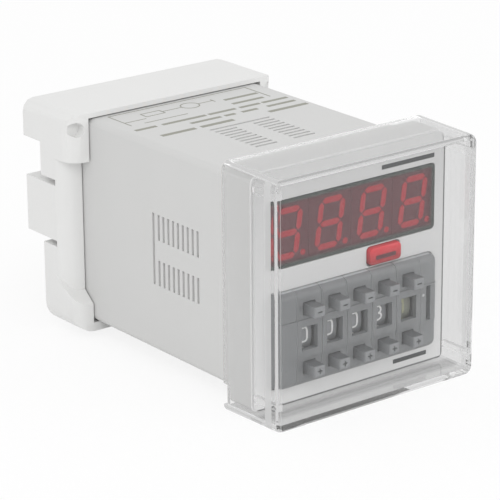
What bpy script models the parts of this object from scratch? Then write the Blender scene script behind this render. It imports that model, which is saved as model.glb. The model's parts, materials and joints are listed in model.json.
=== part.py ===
"""Plug-in panel counter with a pushbutton number switch, a clear cover and a slide-on mounting bracket.

Run with: blender --background --python part.py

The model is laid out in product coordinates: X to the right, Y from the front of the clear
cover (y = 0) towards the plug, Z up from the centre line of the case. One empty then carries
everything, so that the world origin is at the middle of the bounding box's bottom face.
All sizes are in metres.
"""

import math

import bmesh
import bpy
from mathutils import Matrix, Vector

# General fits
SEAT_GAP = 0.0003          # between faces that seat on each other
SLIDE_GAP = 0.00025        # around a piece that slides
INSET_GAP = 0.00015        # around an inlaid plate

# Case: a square tube with a front flange, one moulding
FLANGE_LIP = 0.0017        # how far the flange stands out from the case
FLANGE_DEPTH = 0.0073
FLANGE_WALL = 0.0014
FLANGE_EDGE_RADIUS = 0.0012
CASE_WIDTH = 0.0446
CASE_WALL = 0.0015
CASE_LENGTH = 0.0638       # from the panel seat to the rear wall
CASE_EDGE_RADIUS = 0.0014
REAR_WALL = 0.0018

# Vent grooves on the four sides of the case
VENT_COUNT = 9
VENT_PITCH = 0.00164
VENT_WIDTH = 0.0007
VENT_DEPTH = 0.0006
VENT_LENGTH = 0.0055
VENT_ROW_OFFSET = 0.0049
VENT_FIRST = 0.0128        # from the panel seat to the first short groove
VENT_LONG_LENGTH = 0.0154
VENT_LONG_GAP = 0.0018     # from the last short groove to the long one

# Clear cover
COVER_WALL = 0.0013
COVER_DRAFT = 0.0003       # each side, over the depth
COVER_EDGE_RADIUS = 0.0018
COVER_FRONT_RADIUS = 0.0007
COVER_OVERLAP = 0.0073     # how far the skirt reaches over the flange
COVER_ROOM = 0.0067        # free depth between the cover's front wall and the face plate
FINGER_CHAMFER_INSET = 0.0076  # from the cover's sides
FINGER_CHAMFER = 0.0007
COVER_RIB_HEIGHT = 0.0009
COVER_RIB_THICKNESS = 0.0014
COVER_RIB_DROP = 0.0021    # from the cover's top wall to the upper ribs
COVER_RIB_RISE = 0.0037    # from its bottom wall to the lower ribs
COVER_NOTCH_HEIGHT = 0.0044
COVER_NOTCH_DEPTH = 0.0012

# Face plate, front frame and display window
PLATE_THICKNESS = 0.0006
PLATE_BORDER = 0.0003      # from the flange's edge to the plate's edge
PLATE_CORNER_RADIUS = 0.0010
FRAME_THICKNESS = 0.0016
WINDOW_MARGIN = 0.0031     # from the flange's side to the window
ROW_ABOVE_WINDOW = 0.0054  # from the flange's top to the window
RESET_ROW = 0.0049         # from the window to the number switch
ROW_BELOW_SWITCH = 0.0040  # from the number switch to the flange's bottom
WINDOW_RATIO = 0.685   # window's height for each unit of the number switch's
WINDOW_CORNER_RADIUS = 0.0008

# Seven-segment digits
DIGIT_COUNT = 4
DIGIT_OVERHANG = 0.0005    # from the window's side to the outer digit's side, behind the plate
DIGIT_INSET = 0.00075      # from the window's upper and lower edge to the digit's body
DIGIT_DROP = 0.0004        # digit's centre below the window's
DIGIT_BORDER = 0.00085     # from the body's upper and lower edge to the segments
DIGIT_SPACE = 0.0041       # between the segments of one digit and the next
SEGMENT_WIDTH = 0.0012
SEGMENT_GAP = 0.00025
SEGMENT_RELIEF = 0.00015
DIGIT_SLANT = math.radians(8.0)
POINT_DIAMETER = 0.0013

# Reset button and its switch
RESET_WIDTH = 0.0083
RESET_MARGIN = 0.0006      # from the window and from the number switch
RESET_CENTRE_X = 0.0076
RESET_PROUD = 0.0009
RESET_TRAVEL = 0.0005
RESET_FLANGE = 0.0006
RESET_CORNER_RADIUS = 0.0009
SWITCH_WIDTH = 0.0060
SWITCH_SHRINK = 0.0003     # switch lower than the button
PLUNGER_DIAMETER = 0.0026

# Number switch: five decades between two end caps
DECADE_COUNT = 5
DECADE_GAP = 0.0002        # between one decade and the next
END_CAP_WIDTH = 0.0048
SWITCH_MARGIN = 0.0032     # from the flange's side to the number switch
BAND_GAP = 0.00105         # from the raised band to the buttons
BAND_PROUD = 0.0020        # raised band in front of the face plate
BAND_INSET = 0.00005       # band's ends inside the end caps' sides
FIELD_PROUD = 0.0018       # button fields in front of the face plate
BLOCK_EDGE_RADIUS = 0.0016 # round the whole number switch
BLOCK_EDGE_STEPS = 4
DECADE_WALL = 0.0010
DECADE_FRONT_WALL = 0.0010 # from the button fields to the space inside
DECADE_REAR_BLOCK = 0.0050
DIAL_SIDE_ROOM = 0.0003    # from the wheel's side to the dial opening's
DIAL_FRAME = 0.00155       # from the band's upper and lower edge to the dial opening
END_PLATE = 0.0014
END_FLANGE_DEPTH = 0.0046
GROOVE_WIDTH = 0.0012
GROOVE_MARGIN = 0.0003     # from the band's upper and lower edge to the groove
GROOVE_DEPTH = 0.0012

# Number wheels
WHEEL_SIDE_ROOM = 0.0015   # from the wheel to the decade's middle plane on each side
WHEEL_RIM = 0.0011
WHEEL_WEB = 0.0012
WHEEL_ROOM = 0.0018        # free space round the wheel
HUB_RADIUS = 0.0027
PIVOT_RADIUS = 0.0015
RATCHET_TEETH = 10
RATCHET_TOOTH = 0.0009
RATCHET_WIDTH = 0.0008

# Buttons above and below each wheel
BUTTON_SIDE_INSET = 0.0004 # button narrower than the wheel, each side
BUTTON_HEIGHT = 0.0022
BUTTON_INSET = 0.00105     # from the wheel's rim inwards to the button's middle
BUTTON_PROUD = 0.0052      # in front of the face plate
BUTTON_TRAVEL = 0.0012
BUTTON_LIP = 0.0004
BUTTON_LIP_DEPTH = 0.0007
PAWL_THICKNESS = 0.0007
PAWL_HEIGHT = 0.0008
PAWL_DROP = 0.0012         # from the button's middle inwards to the ratchet's tips
PAWL_LENGTH = 0.0082
MARK_WIDTH = 0.0012
MARK_THICKNESS = 0.0003
MARK_DEPTH = 0.0002

# Tie rods through the number switch
ROD_RADIUS = 0.0007
ROD_HOLE_RADIUS = 0.0010
ROD_INSET = 0.0022         # from the number switch's upper and lower side

# Boards and what stands on them
BOARD_THICKNESS = 0.0012
SIDE_BOARD_INSET = 0.0006  # from the case's inner side
SIDE_BOARD_FRONT_GAP = 0.0010
SIDE_BOARD_REAR_GAP = 0.0012
CORE_LEG = 0.0042
CORE_WINDOW_WIDTH = 0.0045
CORE_WINDOW_HEIGHT = 0.0180
CORE_STACK = 0.0090
COIL_THICKNESS = 0.0038
TRANSFORMER_REAR_ROOM = 0.0038 # from the core to the side board's rear edge
TRANSFORMER_Z = 0.0020
RELAY_DEPTH = 0.0180
RELAY_HEIGHT = 0.0150
RELAY_RISE = 0.0125
RELAY_SETBACK = 0.0040
RELAY_Z = -0.0090
CAPACITOR_RADIUS = 0.0050
CAPACITOR_LENGTH = 0.0115
CAPACITOR_SETBACK = 0.0090
CAPACITOR_Z = 0.0095

# Octal plug base
PLUG_STEP = 0.0026         # from the boss out to the inner flange's rim
PLUG_LENGTH = 0.0060       # behind the rear wall
PLUG_FLANGE_ROOM = 0.0022  # from the inner flange's rim to the case
PLUG_FLANGE_THICKNESS = 0.0022
KEY_POST_RADIUS = 0.0040
KEY_POST_LENGTH = 0.0135
KEY_RIB_WIDTH = 0.0020
KEY_RIB_HEIGHT = 0.0010
PIN_COUNT = 8
PIN_CIRCLE_RADIUS = 0.00873
PIN_RADIUS = 0.00118
PIN_LENGTH = 0.0110
PIN_SOCKET_DEPTH = 0.0050

# Mounting bracket
BRACKET_CHEEK = 0.00445    # thickness of its sides
BRACKET_WALL = 0.0010      # top
BRACKET_BASE = 0.0019      # bottom
BRACKET_LENGTH = 0.0180
BRACKET_FRONT = 0.0497     # from the panel seat to the bracket's front face
BRACKET_CORNER_RADIUS = 0.0026
BRACKET_BASE_RADIUS = 0.0046
BRACKET_CHEEK_RADIUS = 0.0040
BRACKET_SIDE_SETBACK = 0.0030
UPPER_BLOCK_HEIGHT = 0.00935
LOWER_BLOCK_HEIGHT = 0.00675
LOWER_BLOCK_CHAMFER = 0.0025
EAR_HEIGHT = 0.00685
NECK_SETBACK = 0.0062      # from the ear's rear edge
LOWER_SETBACK = 0.0065
TAB_HEIGHT = 0.0122
TAB_RISE = 0.0011          # tab's middle above the case's
TAB_SLIT = 0.0013
TAB_SLIT_DEPTH = 0.0052    # into the side wall, from the neck's rear edge
TAB_SETBACK = 0.0006
DIMPLE_RADIUS = 0.0016
DIMPLE_INSET = 0.0019      # from the bracket's outer side
DIMPLE_DROP = 0.00225      # below the underside of the top wall
DIMPLE_DEPTH = 0.0012
CHEEK_SKIN = 0.0014        # walls left around the pockets cored from behind

# Places that follow from the sizes
FLANGE_WIDTH = CASE_WIDTH + 2 * FLANGE_LIP
FACE_Y = COVER_WALL + COVER_ROOM
FLANGE_FRONT_Y = FACE_Y + PLATE_THICKNESS + SEAT_GAP
SEAT_Y = FLANGE_FRONT_Y + FLANGE_DEPTH
CASE_REAR_Y = SEAT_Y + CASE_LENGTH
PLUG_REAR_Y = CASE_REAR_Y + PLUG_LENGTH
OVERALL_LENGTH = PLUG_REAR_Y + KEY_POST_LENGTH
CASE_INNER = CASE_WIDTH / 2 - CASE_WALL
FLANGE_INNER = FLANGE_WIDTH / 2 - FLANGE_WALL
COVER_DEPTH = FLANGE_FRONT_Y + COVER_OVERLAP
COVER_INNER = FLANGE_WIDTH / 2 + SEAT_GAP
COVER_FRONT_HALF = COVER_INNER + COVER_WALL
COVER_REAR_HALF = COVER_FRONT_HALF + COVER_DRAFT
FRAME_HALF = FLANGE_INNER - SLIDE_GAP
FRAME_REAR_Y = FLANGE_FRONT_Y + FRAME_THICKNESS
WINDOW_WIDTH = FLANGE_WIDTH - 2 * WINDOW_MARGIN
SWITCH_BLOCK_WIDTH = FLANGE_WIDTH - 2 * SWITCH_MARGIN
FRONT_ROOM = FLANGE_WIDTH - ROW_ABOVE_WINDOW - RESET_ROW - ROW_BELOW_SWITCH
SWITCH_BLOCK_HEIGHT = FRONT_ROOM / (1 + WINDOW_RATIO)
WINDOW_HEIGHT = FRONT_ROOM - SWITCH_BLOCK_HEIGHT
WINDOW_CENTRE_Z = FLANGE_WIDTH / 2 - ROW_ABOVE_WINDOW - WINDOW_HEIGHT / 2
SWITCH_CENTRE_Z = ROW_BELOW_SWITCH + SWITCH_BLOCK_HEIGHT / 2 - FLANGE_WIDTH / 2
SWITCH_TOP_Z = SWITCH_CENTRE_Z + SWITCH_BLOCK_HEIGHT / 2
DIGIT_PITCH = (WINDOW_WIDTH + 2 * DIGIT_OVERHANG) / DIGIT_COUNT
DIGIT_WIDTH = DIGIT_PITCH - DIGIT_SPACE
DIGIT_BODY_HEIGHT = WINDOW_HEIGHT - 2 * DIGIT_INSET
DIGIT_HEIGHT = DIGIT_BODY_HEIGHT - 2 * DIGIT_BORDER
DIGIT_CENTRE_Z = WINDOW_CENTRE_Z - DIGIT_DROP
DIGIT_FRONT_Y = FACE_Y + PLATE_THICKNESS + SEAT_GAP + SEGMENT_RELIEF
DIGIT_REAR_Y = SEAT_Y - FLANGE_WALL - SEAT_GAP
DIGIT_BODY_DEPTH = DIGIT_REAR_Y - DIGIT_FRONT_Y
DISPLAY_BOARD_Y = DIGIT_REAR_Y + SEAT_GAP
DECADE_STACK = SWITCH_BLOCK_WIDTH - 2 * END_CAP_WIDTH
DECADE_PITCH = DECADE_STACK / DECADE_COUNT
DECADE_WIDTH = DECADE_PITCH - DECADE_GAP
WHEEL_RADIUS = SWITCH_BLOCK_HEIGHT / 2 - DECADE_WALL - WHEEL_ROOM
WHEEL_WIDTH = DECADE_PITCH - 2 * WHEEL_SIDE_ROOM
DIAL_OPENING_WIDTH = WHEEL_WIDTH + 2 * DIAL_SIDE_ROOM
BUTTON_WIDTH = WHEEL_WIDTH - 2 * BUTTON_SIDE_INSET
BUTTON_OFFSET = WHEEL_RADIUS - BUTTON_INSET
BAND_HEIGHT = 2 * (BUTTON_OFFSET - BUTTON_HEIGHT / 2 - BAND_GAP)
DIAL_OPENING_HEIGHT = BAND_HEIGHT - 2 * DIAL_FRAME
RATCHET_RADIUS = BUTTON_OFFSET - PAWL_DROP
RATCHET_ROOT = RATCHET_RADIUS - RATCHET_TOOTH
FIELD_Y = FACE_Y - FIELD_PROUD
CAVITY_FRONT_Y = FIELD_Y + DECADE_FRONT_WALL
LIP_FRONT_Y = CAVITY_FRONT_Y + SEAT_GAP
LIP_INNER = BUTTON_OFFSET - BUTTON_HEIGHT / 2
WHEEL_AXIS_Y = (LIP_FRONT_Y + BUTTON_LIP_DEPTH + BUTTON_TRAVEL + SLIDE_GAP
                + math.sqrt(max(WHEEL_RADIUS ** 2 - LIP_INNER ** 2, 0.0)))
DECADE_REAR_Y = WHEEL_AXIS_Y + WHEEL_RADIUS + WHEEL_ROOM + DECADE_REAR_BLOCK
ROD_SPREAD = SWITCH_BLOCK_HEIGHT - 2 * ROD_INSET
RESET_HEIGHT = RESET_ROW - 2 * RESET_MARGIN
RESET_CENTRE_Z = SWITCH_TOP_Z + RESET_ROW / 2
SWITCH_HEIGHT = RESET_HEIGHT - SWITCH_SHRINK
ROD_Y = DECADE_REAR_Y - DECADE_REAR_BLOCK / 2
SIDE_BOARD_X = CASE_INNER - SIDE_BOARD_INSET - BOARD_THICKNESS
PLUG_FLANGE_RADIUS = CASE_INNER - PLUG_FLANGE_ROOM
PLUG_RADIUS = PLUG_FLANGE_RADIUS - PLUG_STEP
SIDE_BOARD_FRONT = DECADE_REAR_Y + SEAT_GAP + BOARD_THICKNESS + SIDE_BOARD_FRONT_GAP
PLUG_FLANGE_FRONT = CASE_REAR_Y - REAR_WALL - SEAT_GAP - PLUG_FLANGE_THICKNESS
SIDE_BOARD_REAR = PLUG_FLANGE_FRONT - SIDE_BOARD_REAR_GAP
BRACKET_FRONT_Y = SEAT_Y + BRACKET_FRONT
BRACKET_REAR_Y = BRACKET_FRONT_Y + BRACKET_LENGTH
BRACKET_INNER = CASE_WIDTH / 2 + SLIDE_GAP
BRACKET_TOP = BRACKET_INNER + BRACKET_WALL
BRACKET_WIDTH = 2 * (BRACKET_INNER + BRACKET_CHEEK)
UPPER_BLOCK_Z = BRACKET_INNER - UPPER_BLOCK_HEIGHT
LOWER_BLOCK_Z = LOWER_BLOCK_HEIGHT - BRACKET_INNER
EAR_Z = BRACKET_INNER - EAR_HEIGHT
TAB_TOP_Z = TAB_RISE + TAB_HEIGHT / 2
TAB_BOTTOM_Z = TAB_RISE - TAB_HEIGHT / 2
DIMPLE_Z = BRACKET_INNER - DIMPLE_DROP

ROUND_STEPS = 24
SMALL_STEPS = 12


def clear_scene():
    """Remove every object that is already in the scene."""
    for item in list(bpy.data.objects):
        bpy.data.objects.remove(item, do_unlink=True)


def new_collection(name):
    """Add a collection to the scene."""
    collection = bpy.data.collections.new(name)
    bpy.context.scene.collection.children.link(collection)
    return collection


def make_material(name, colour, roughness, metallic=0.0, transmission=0.0):
    """Make a Principled material with plain values."""
    material = bpy.data.materials.new(name)
    material.use_nodes = True
    shader = material.node_tree.nodes["Principled BSDF"]
    shader.inputs["Base Color"].default_value = (*colour, 1.0)
    shader.inputs["Roughness"].default_value = roughness
    shader.inputs["Metallic"].default_value = metallic
    shader.inputs["Transmission Weight"].default_value = transmission
    material.diffuse_color = (*colour, 1.0)
    return material


def add_box(bm, x, y, z):
    """Add a box to bm, from the (low, high) pairs of each axis, and return its vertices."""
    low = Vector((x[0], y[0], z[0]))
    high = Vector((x[1], y[1], z[1]))
    size = high - low
    matrix = Matrix.Translation((low + high) / 2) @ Matrix.Diagonal((*size, 1.0))
    return bmesh.ops.create_cube(bm, size=1.0, matrix=matrix)["verts"]


def round_edges(bm, edges, radius, segments):
    """Fillet the given edges."""
    bmesh.ops.bevel(bm, geom=edges, offset=radius, segments=segments, profile=0.5,
                    affect="EDGES", clamp_overlap=True)


def edges_along(bm, axis, test=None):
    """Return the edges parallel to an axis whose middle passes the test."""
    chosen = []
    for edge in bm.edges:
        first, second = (vertex.co for vertex in edge.verts)
        direction = (second - first).normalized()
        if abs(direction[axis]) > 0.999 and (test is None or test((first + second) / 2)):
            chosen.append(edge)
    return chosen


def to_mesh(bm, name):
    """Turn bm into a mesh with smooth shading broken at its sharp edges."""
    bmesh.ops.recalc_face_normals(bm, faces=bm.faces)
    if bm.calc_volume(signed=True) < 0:
        bmesh.ops.reverse_faces(bm, faces=bm.faces)
    mesh = bpy.data.meshes.new(name)
    bm.to_mesh(mesh)
    bm.free()
    shade(mesh)
    return mesh


def shade(mesh):
    """Shade a mesh smooth where its faces meet at less than 35 degrees."""
    mesh.shade_smooth()
    mesh.set_sharp_from_angle(angle=math.radians(35))


def box_mesh(name, x, y, z, radius=0.0, segments=2, axis=1):
    """A box whose edges along one axis may be rounded."""
    bm = bmesh.new()
    add_box(bm, x, y, z)
    if radius > 0:
        round_edges(bm, edges_along(bm, axis), radius, segments)
    return to_mesh(bm, name)


def turn_to(axis):
    """Matrix that turns Z to another of the main axes, with no rounding."""
    along = Vector(axis)
    side = Vector((along.y, along.z, along.x))
    return Matrix((side, along.cross(side), along)).transposed().to_4x4()


def cylinder_mesh(name, radius, start, end, axis, steps=SMALL_STEPS, tip=0.0):
    """A cylinder between two points along an axis, with an optional chamfer at its end."""
    bm = bmesh.new()
    length = (Vector(end) - Vector(start)).length
    bmesh.ops.create_cone(bm, cap_ends=True, segments=steps, radius1=radius, radius2=radius,
                          depth=length)
    if tip > 0:
        rim = [edge for edge in bm.edges if all(v.co.z > length * 0.49 for v in edge.verts)]
        round_edges(bm, rim, tip, 2)
    bm.transform(Matrix.Translation((Vector(start) + Vector(end)) / 2) @ turn_to(axis))
    return to_mesh(bm, name)


def outline_mesh(name, outlines, low, high, normal):
    """Extrude closed outlines between two levels along the X or Y axis.

    Along X the outline's points are (y, z), and along Y they are (x, z).
    """
    curve = bpy.data.curves.new(name, "CURVE")
    curve.dimensions = "2D"
    curve.fill_mode = "BOTH"
    curve.extrude = (high - low) / 2
    for points in outlines:
        spline = curve.splines.new("POLY")
        spline.points.add(len(points) - 1)
        for point, (across, up) in zip(spline.points, points):
            point.co = (across, up, 0.0, 1.0)
        spline.use_cyclic_u = True
    guide = bpy.data.objects.new(name, curve)
    bpy.context.scene.collection.objects.link(guide)
    evaluated = guide.evaluated_get(bpy.context.evaluated_depsgraph_get())
    mesh = bpy.data.meshes.new_from_object(evaluated)
    bpy.data.objects.remove(guide)
    bpy.data.curves.remove(curve)
    bm = bmesh.new()
    bm.from_mesh(mesh)
    bpy.data.meshes.remove(mesh)
    bmesh.ops.remove_doubles(bm, verts=bm.verts, dist=1e-6)
    if normal == "X":
        turn = Matrix(((0, 0, 1, 0), (1, 0, 0, 0), (0, 1, 0, 0), (0, 0, 0, 1)))
        shift = Vector(((low + high) / 2, 0, 0))
    else:
        turn = Matrix(((1, 0, 0, 0), (0, 0, -1, 0), (0, 1, 0, 0), (0, 0, 0, 1)))
        shift = Vector((0, (low + high) / 2, 0))
    bm.transform(Matrix.Translation(shift) @ turn)
    return to_mesh(bm, name)


def turned_mesh(name, profile, axis, centre, steps=ROUND_STEPS, closed=False):
    """Turn a (radius, height) profile about an axis through centre, with a Screw modifier."""
    mesh = bpy.data.meshes.new(name)
    count = len(profile)
    links = [(i, i + 1) for i in range(count - 1)]
    if closed:
        links.append((count - 1, 0))
    mesh.from_pydata([(radius, 0.0, height) for radius, height in profile], links, [])
    guide = bpy.data.objects.new(name, mesh)
    bpy.context.scene.collection.objects.link(guide)
    screw = guide.modifiers.new("turn", "SCREW")
    screw.steps = steps
    screw.render_steps = steps
    screw.use_merge_vertices = True
    screw.merge_threshold = 1e-6
    evaluated = guide.evaluated_get(bpy.context.evaluated_depsgraph_get())
    turned = bpy.data.meshes.new_from_object(evaluated)
    bpy.data.objects.remove(guide)
    bpy.data.meshes.remove(mesh)
    bm = bmesh.new()
    bm.from_mesh(turned)
    bpy.data.meshes.remove(turned)
    bmesh.ops.remove_doubles(bm, verts=bm.verts, dist=1e-6)
    bm.transform(Matrix.Translation(Vector(centre)) @ turn_to(axis))
    return to_mesh(bm, name)


def joined_mesh(name, meshes):
    """Gather several meshes into one, as separate bodies of one cutter."""
    bm = bmesh.new()
    for mesh in meshes:
        bm.from_mesh(mesh)
        bpy.data.meshes.remove(mesh)
    return to_mesh(bm, name)


def combine(name, base, steps):
    """Work through (operation, tool mesh) pairs with exact Booleans and return the result."""
    result = base
    for operation, tool in steps:
        first = bpy.data.objects.new(name, result)
        second = bpy.data.objects.new(name + "_tool", tool)
        CUTTERS.objects.link(first)
        CUTTERS.objects.link(second)
        boolean = first.modifiers.new("shape", "BOOLEAN")
        boolean.operation = operation
        boolean.solver = "EXACT"
        boolean.object = second
        evaluated = first.evaluated_get(bpy.context.evaluated_depsgraph_get())
        shaped = bpy.data.meshes.new_from_object(evaluated)
        bpy.data.objects.remove(first)
        bpy.data.objects.remove(second)
        bpy.data.meshes.remove(result)
        bpy.data.meshes.remove(tool)
        result = shaped
    result.name = name
    result.materials.clear()
    shade(result)
    return result


def add_part(name, mesh, material, origin=(0.0, 0.0, 0.0)):
    """Add one named piece, whose mesh is laid out from its origin."""
    part = bpy.data.objects.new(name, mesh)
    if not mesh.materials:
        mesh.materials.append(material)
    PARTS.objects.link(part)
    part.parent = CARRIER
    part.location = origin
    return part


def rounded_outline(low, high, radius, steps=3):
    """Points of a rectangle with round corners, anticlockwise."""
    points = []
    corners = ((high[0], high[1], 0), (low[0], high[1], 90), (low[0], low[1], 180), (high[0], low[1], 270))
    for across, up, start in corners:
        centre_across = across - math.copysign(radius, across - (low[0] + high[0]) / 2)
        centre_up = up - math.copysign(radius, up - (low[1] + high[1]) / 2)
        for step in range(steps + 1):
            angle = math.radians(start + 90 * step / steps)
            points.append((centre_across + radius * math.cos(angle), centre_up + radius * math.sin(angle)))
    return points


def vent_grooves():
    """One cutter mesh with the vent grooves of the case's four sides."""
    bm = bmesh.new()
    half = CASE_WIDTH / 2
    first_y = SEAT_Y + VENT_FIRST
    long_y = first_y + VENT_PITCH * (VENT_COUNT - 1) + VENT_LONG_GAP
    for quarter in range(4):
        turn = Matrix.Rotation(math.radians(90 * quarter), 4, "Y")
        fresh = add_box(bm, (-half - VENT_DEPTH, -half + VENT_DEPTH),
                        (long_y - VENT_WIDTH / 2, long_y + VENT_WIDTH / 2),
                        (-VENT_LONG_LENGTH / 2, VENT_LONG_LENGTH / 2))
        for row in (-1, 1):
            middle = row * VENT_ROW_OFFSET
            for index in range(VENT_COUNT):
                y = first_y + index * VENT_PITCH
                fresh += add_box(bm, (-half - VENT_DEPTH, -half + VENT_DEPTH),
                                 (y - VENT_WIDTH / 2, y + VENT_WIDTH / 2),
                                 (middle - VENT_LENGTH / 2, middle + VENT_LENGTH / 2))
        bmesh.ops.transform(bm, matrix=turn, verts=fresh)
    return to_mesh(bm, "vent_grooves")


def build_case(plastic):
    """The case: flange and square tube in one, hollow, with a round hole for the plug."""
    half = CASE_WIDTH / 2
    flange = FLANGE_WIDTH / 2
    tube = box_mesh("case", (-half, half), (FLANGE_FRONT_Y + FLANGE_WALL, CASE_REAR_Y),
                    (-half, half), CASE_EDGE_RADIUS, 3)
    collar = box_mesh("collar", (-flange, flange), (FLANGE_FRONT_Y, SEAT_Y),
                      (-flange, flange), FLANGE_EDGE_RADIUS, 3)
    recess = box_mesh("recess", (-FLANGE_INNER, FLANGE_INNER),
                      (FLANGE_FRONT_Y - FLANGE_WALL, SEAT_Y - FLANGE_WALL),
                      (-FLANGE_INNER, FLANGE_INNER))
    hollow = box_mesh("hollow", (-CASE_INNER, CASE_INNER), (FLANGE_FRONT_Y, CASE_REAR_Y - REAR_WALL),
                      (-CASE_INNER, CASE_INNER))
    hole = cylinder_mesh("hole", PLUG_RADIUS + SLIDE_GAP, (0, CASE_REAR_Y - REAR_WALL * 2, 0),
                         (0, CASE_REAR_Y + REAR_WALL, 0), (0, 1, 0), ROUND_STEPS)
    cuts = [("DIFFERENCE", tool) for tool in (recess, hollow, hole, vent_grooves())]
    add_part("case", combine("case", tube, [("UNION", collar)] + cuts), plastic)


def drafted_box(front_half, front_y, rear_y, corner_radius, front_radius):
    """A square block that widens towards the rear by the cover's draft, with round long edges."""
    slope = COVER_DRAFT / COVER_DEPTH
    bm = bmesh.new()
    add_box(bm, (-1, 1), (front_y, rear_y), (-1, 1))
    for vertex in bm.verts:
        half = front_half + slope * (vertex.co.y - front_y)
        vertex.co.x *= half
        vertex.co.z *= half
    middle = (front_y + rear_y) / 2
    sides = [e for e in bm.edges if (e.verts[0].co.y < middle) != (e.verts[1].co.y < middle)]
    round_edges(bm, sides, corner_radius, 4)
    if front_radius > 0:
        rim = [e for e in bm.edges if all(v.co.y < front_y + front_radius / 10 for v in e.verts)]
        round_edges(bm, rim, front_radius, 2)
    return bm


def build_cover(clear):
    """The clear cover: a drafted cap with a finger chamfer, inner ribs and a pry notch."""
    outside = drafted_box(COVER_FRONT_HALF, 0.0, COVER_DEPTH, COVER_EDGE_RADIUS, COVER_FRONT_RADIUS)
    inside = drafted_box(COVER_INNER, COVER_WALL, COVER_DEPTH + COVER_WALL, COVER_EDGE_RADIUS / 3, 0.0)
    low = COVER_EDGE_RADIUS - COVER_REAR_HALF
    notch = box_mesh("notch", (-COVER_REAR_HALF - COVER_WALL, -COVER_INNER + COVER_WALL),
                     (COVER_DEPTH - COVER_NOTCH_DEPTH, COVER_DEPTH + COVER_WALL), (low, low + COVER_NOTCH_HEIGHT))
    steps = [("DIFFERENCE", to_mesh(inside, "inside")), ("UNION", cover_ribs()),
             ("DIFFERENCE", finger_chamfer()), ("DIFFERENCE", notch)]
    add_part("clear_cover", combine("clear_cover", to_mesh(outside, "clear_cover"), steps), clear)


def finger_chamfer():
    """A bar on edge that takes a chamfer off the cover's lower front edge."""
    size = FINGER_CHAMFER * math.sqrt(2)
    half = COVER_FRONT_HALF - FINGER_CHAMFER_INSET
    bm = bmesh.new()
    fresh = add_box(bm, (-half, half), (-size, size), (-size, size))
    bmesh.ops.transform(bm, matrix=Matrix.Rotation(math.radians(45), 4, "X"), verts=fresh)
    bmesh.ops.translate(bm, vec=(0, FINGER_CHAMFER - size * math.sqrt(2), -COVER_FRONT_HALF), verts=bm.verts)
    return to_mesh(bm, "finger_chamfer")


def cover_ribs():
    """Four ribs inside the cover's side walls, which stop it against the face plate."""
    bm = bmesh.new()
    for side in (-1, 1):
        across = sorted((side * (COVER_INNER - COVER_RIB_HEIGHT), side * (COVER_INNER + COVER_WALL / 2)))
        for z in (COVER_INNER - COVER_RIB_DROP, COVER_RIB_RISE - COVER_INNER):
            add_box(bm, across, (COVER_WALL / 2, FACE_Y - SEAT_GAP),
                    (z - COVER_RIB_THICKNESS / 2, z + COVER_RIB_THICKNESS / 2))
    return to_mesh(bm, "cover_ribs")


def build_face(grey, smoked, plastic):
    """The face plate, the smoked display window inlaid in it, and the frame behind both."""
    edge = FLANGE_WIDTH / 2 - PLATE_BORDER
    low = WINDOW_CENTRE_Z - WINDOW_HEIGHT / 2
    high = WINDOW_CENTRE_Z + WINDOW_HEIGHT / 2
    half = WINDOW_WIDTH / 2
    window = rounded_outline((-half, low), (half, high), WINDOW_CORNER_RADIUS)
    opening = rounded_outline((-half - INSET_GAP, low - INSET_GAP), (half + INSET_GAP, high + INSET_GAP),
                              WINDOW_CORNER_RADIUS + INSET_GAP)
    block_half = SWITCH_BLOCK_WIDTH / 2 + INSET_GAP
    block_low = SWITCH_CENTRE_Z - SWITCH_BLOCK_HEIGHT / 2 - INSET_GAP
    block_high = SWITCH_CENTRE_Z + SWITCH_BLOCK_HEIGHT / 2 + INSET_GAP
    block = rounded_outline((-block_half, block_low), (block_half, block_high), BLOCK_EDGE_RADIUS)
    reset_across = RESET_WIDTH / 2 + SLIDE_GAP
    reset_up = RESET_HEIGHT / 2 + SLIDE_GAP
    reset_low = RESET_CENTRE_Z - reset_up
    reset_high = RESET_CENTRE_Z + reset_up
    reset = rounded_outline((RESET_CENTRE_X - reset_across, reset_low), (RESET_CENTRE_X + reset_across, reset_high),
                            RESET_CORNER_RADIUS)
    outline = rounded_outline((-edge, -edge), (edge, edge), PLATE_CORNER_RADIUS)
    plate = outline_mesh("face_plate", [outline, opening, block, reset], FACE_Y, FACE_Y + PLATE_THICKNESS, "Y")
    add_part("face_plate", plate, grey)
    inlay = outline_mesh("display_window", [window], FACE_Y, FACE_Y + PLATE_THICKNESS, "Y")
    add_part("display_window", inlay, smoked)

    digits_half = DIGIT_PITCH * DIGIT_COUNT / 2
    digits_low = DIGIT_CENTRE_Z - DIGIT_BODY_HEIGHT / 2 - INSET_GAP
    digits_high = DIGIT_CENTRE_Z + DIGIT_BODY_HEIGHT / 2 + INSET_GAP
    frame = box_mesh("front_frame", (-FRAME_HALF, FRAME_HALF), (FLANGE_FRONT_Y, FRAME_REAR_Y),
                     (-FRAME_HALF, FRAME_HALF))
    through = (FLANGE_FRONT_Y - FRAME_THICKNESS, FRAME_REAR_Y + FRAME_THICKNESS)
    cuts = [
        box_mesh("cut", (-digits_half, digits_half), through, (digits_low, digits_high)),
        box_mesh("cut", (-block_half, block_half), through, (block_low, block_high)),
    ]
    well = (RESET_CENTRE_X - reset_across, RESET_CENTRE_X + reset_across)
    steps = [("DIFFERENCE", cut) for cut in cuts]
    steps.append(("DIFFERENCE", box_mesh("cut", well, through, (reset_low, reset_high))))
    add_part("front_frame", combine("front_frame", frame, steps), plastic)


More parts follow.
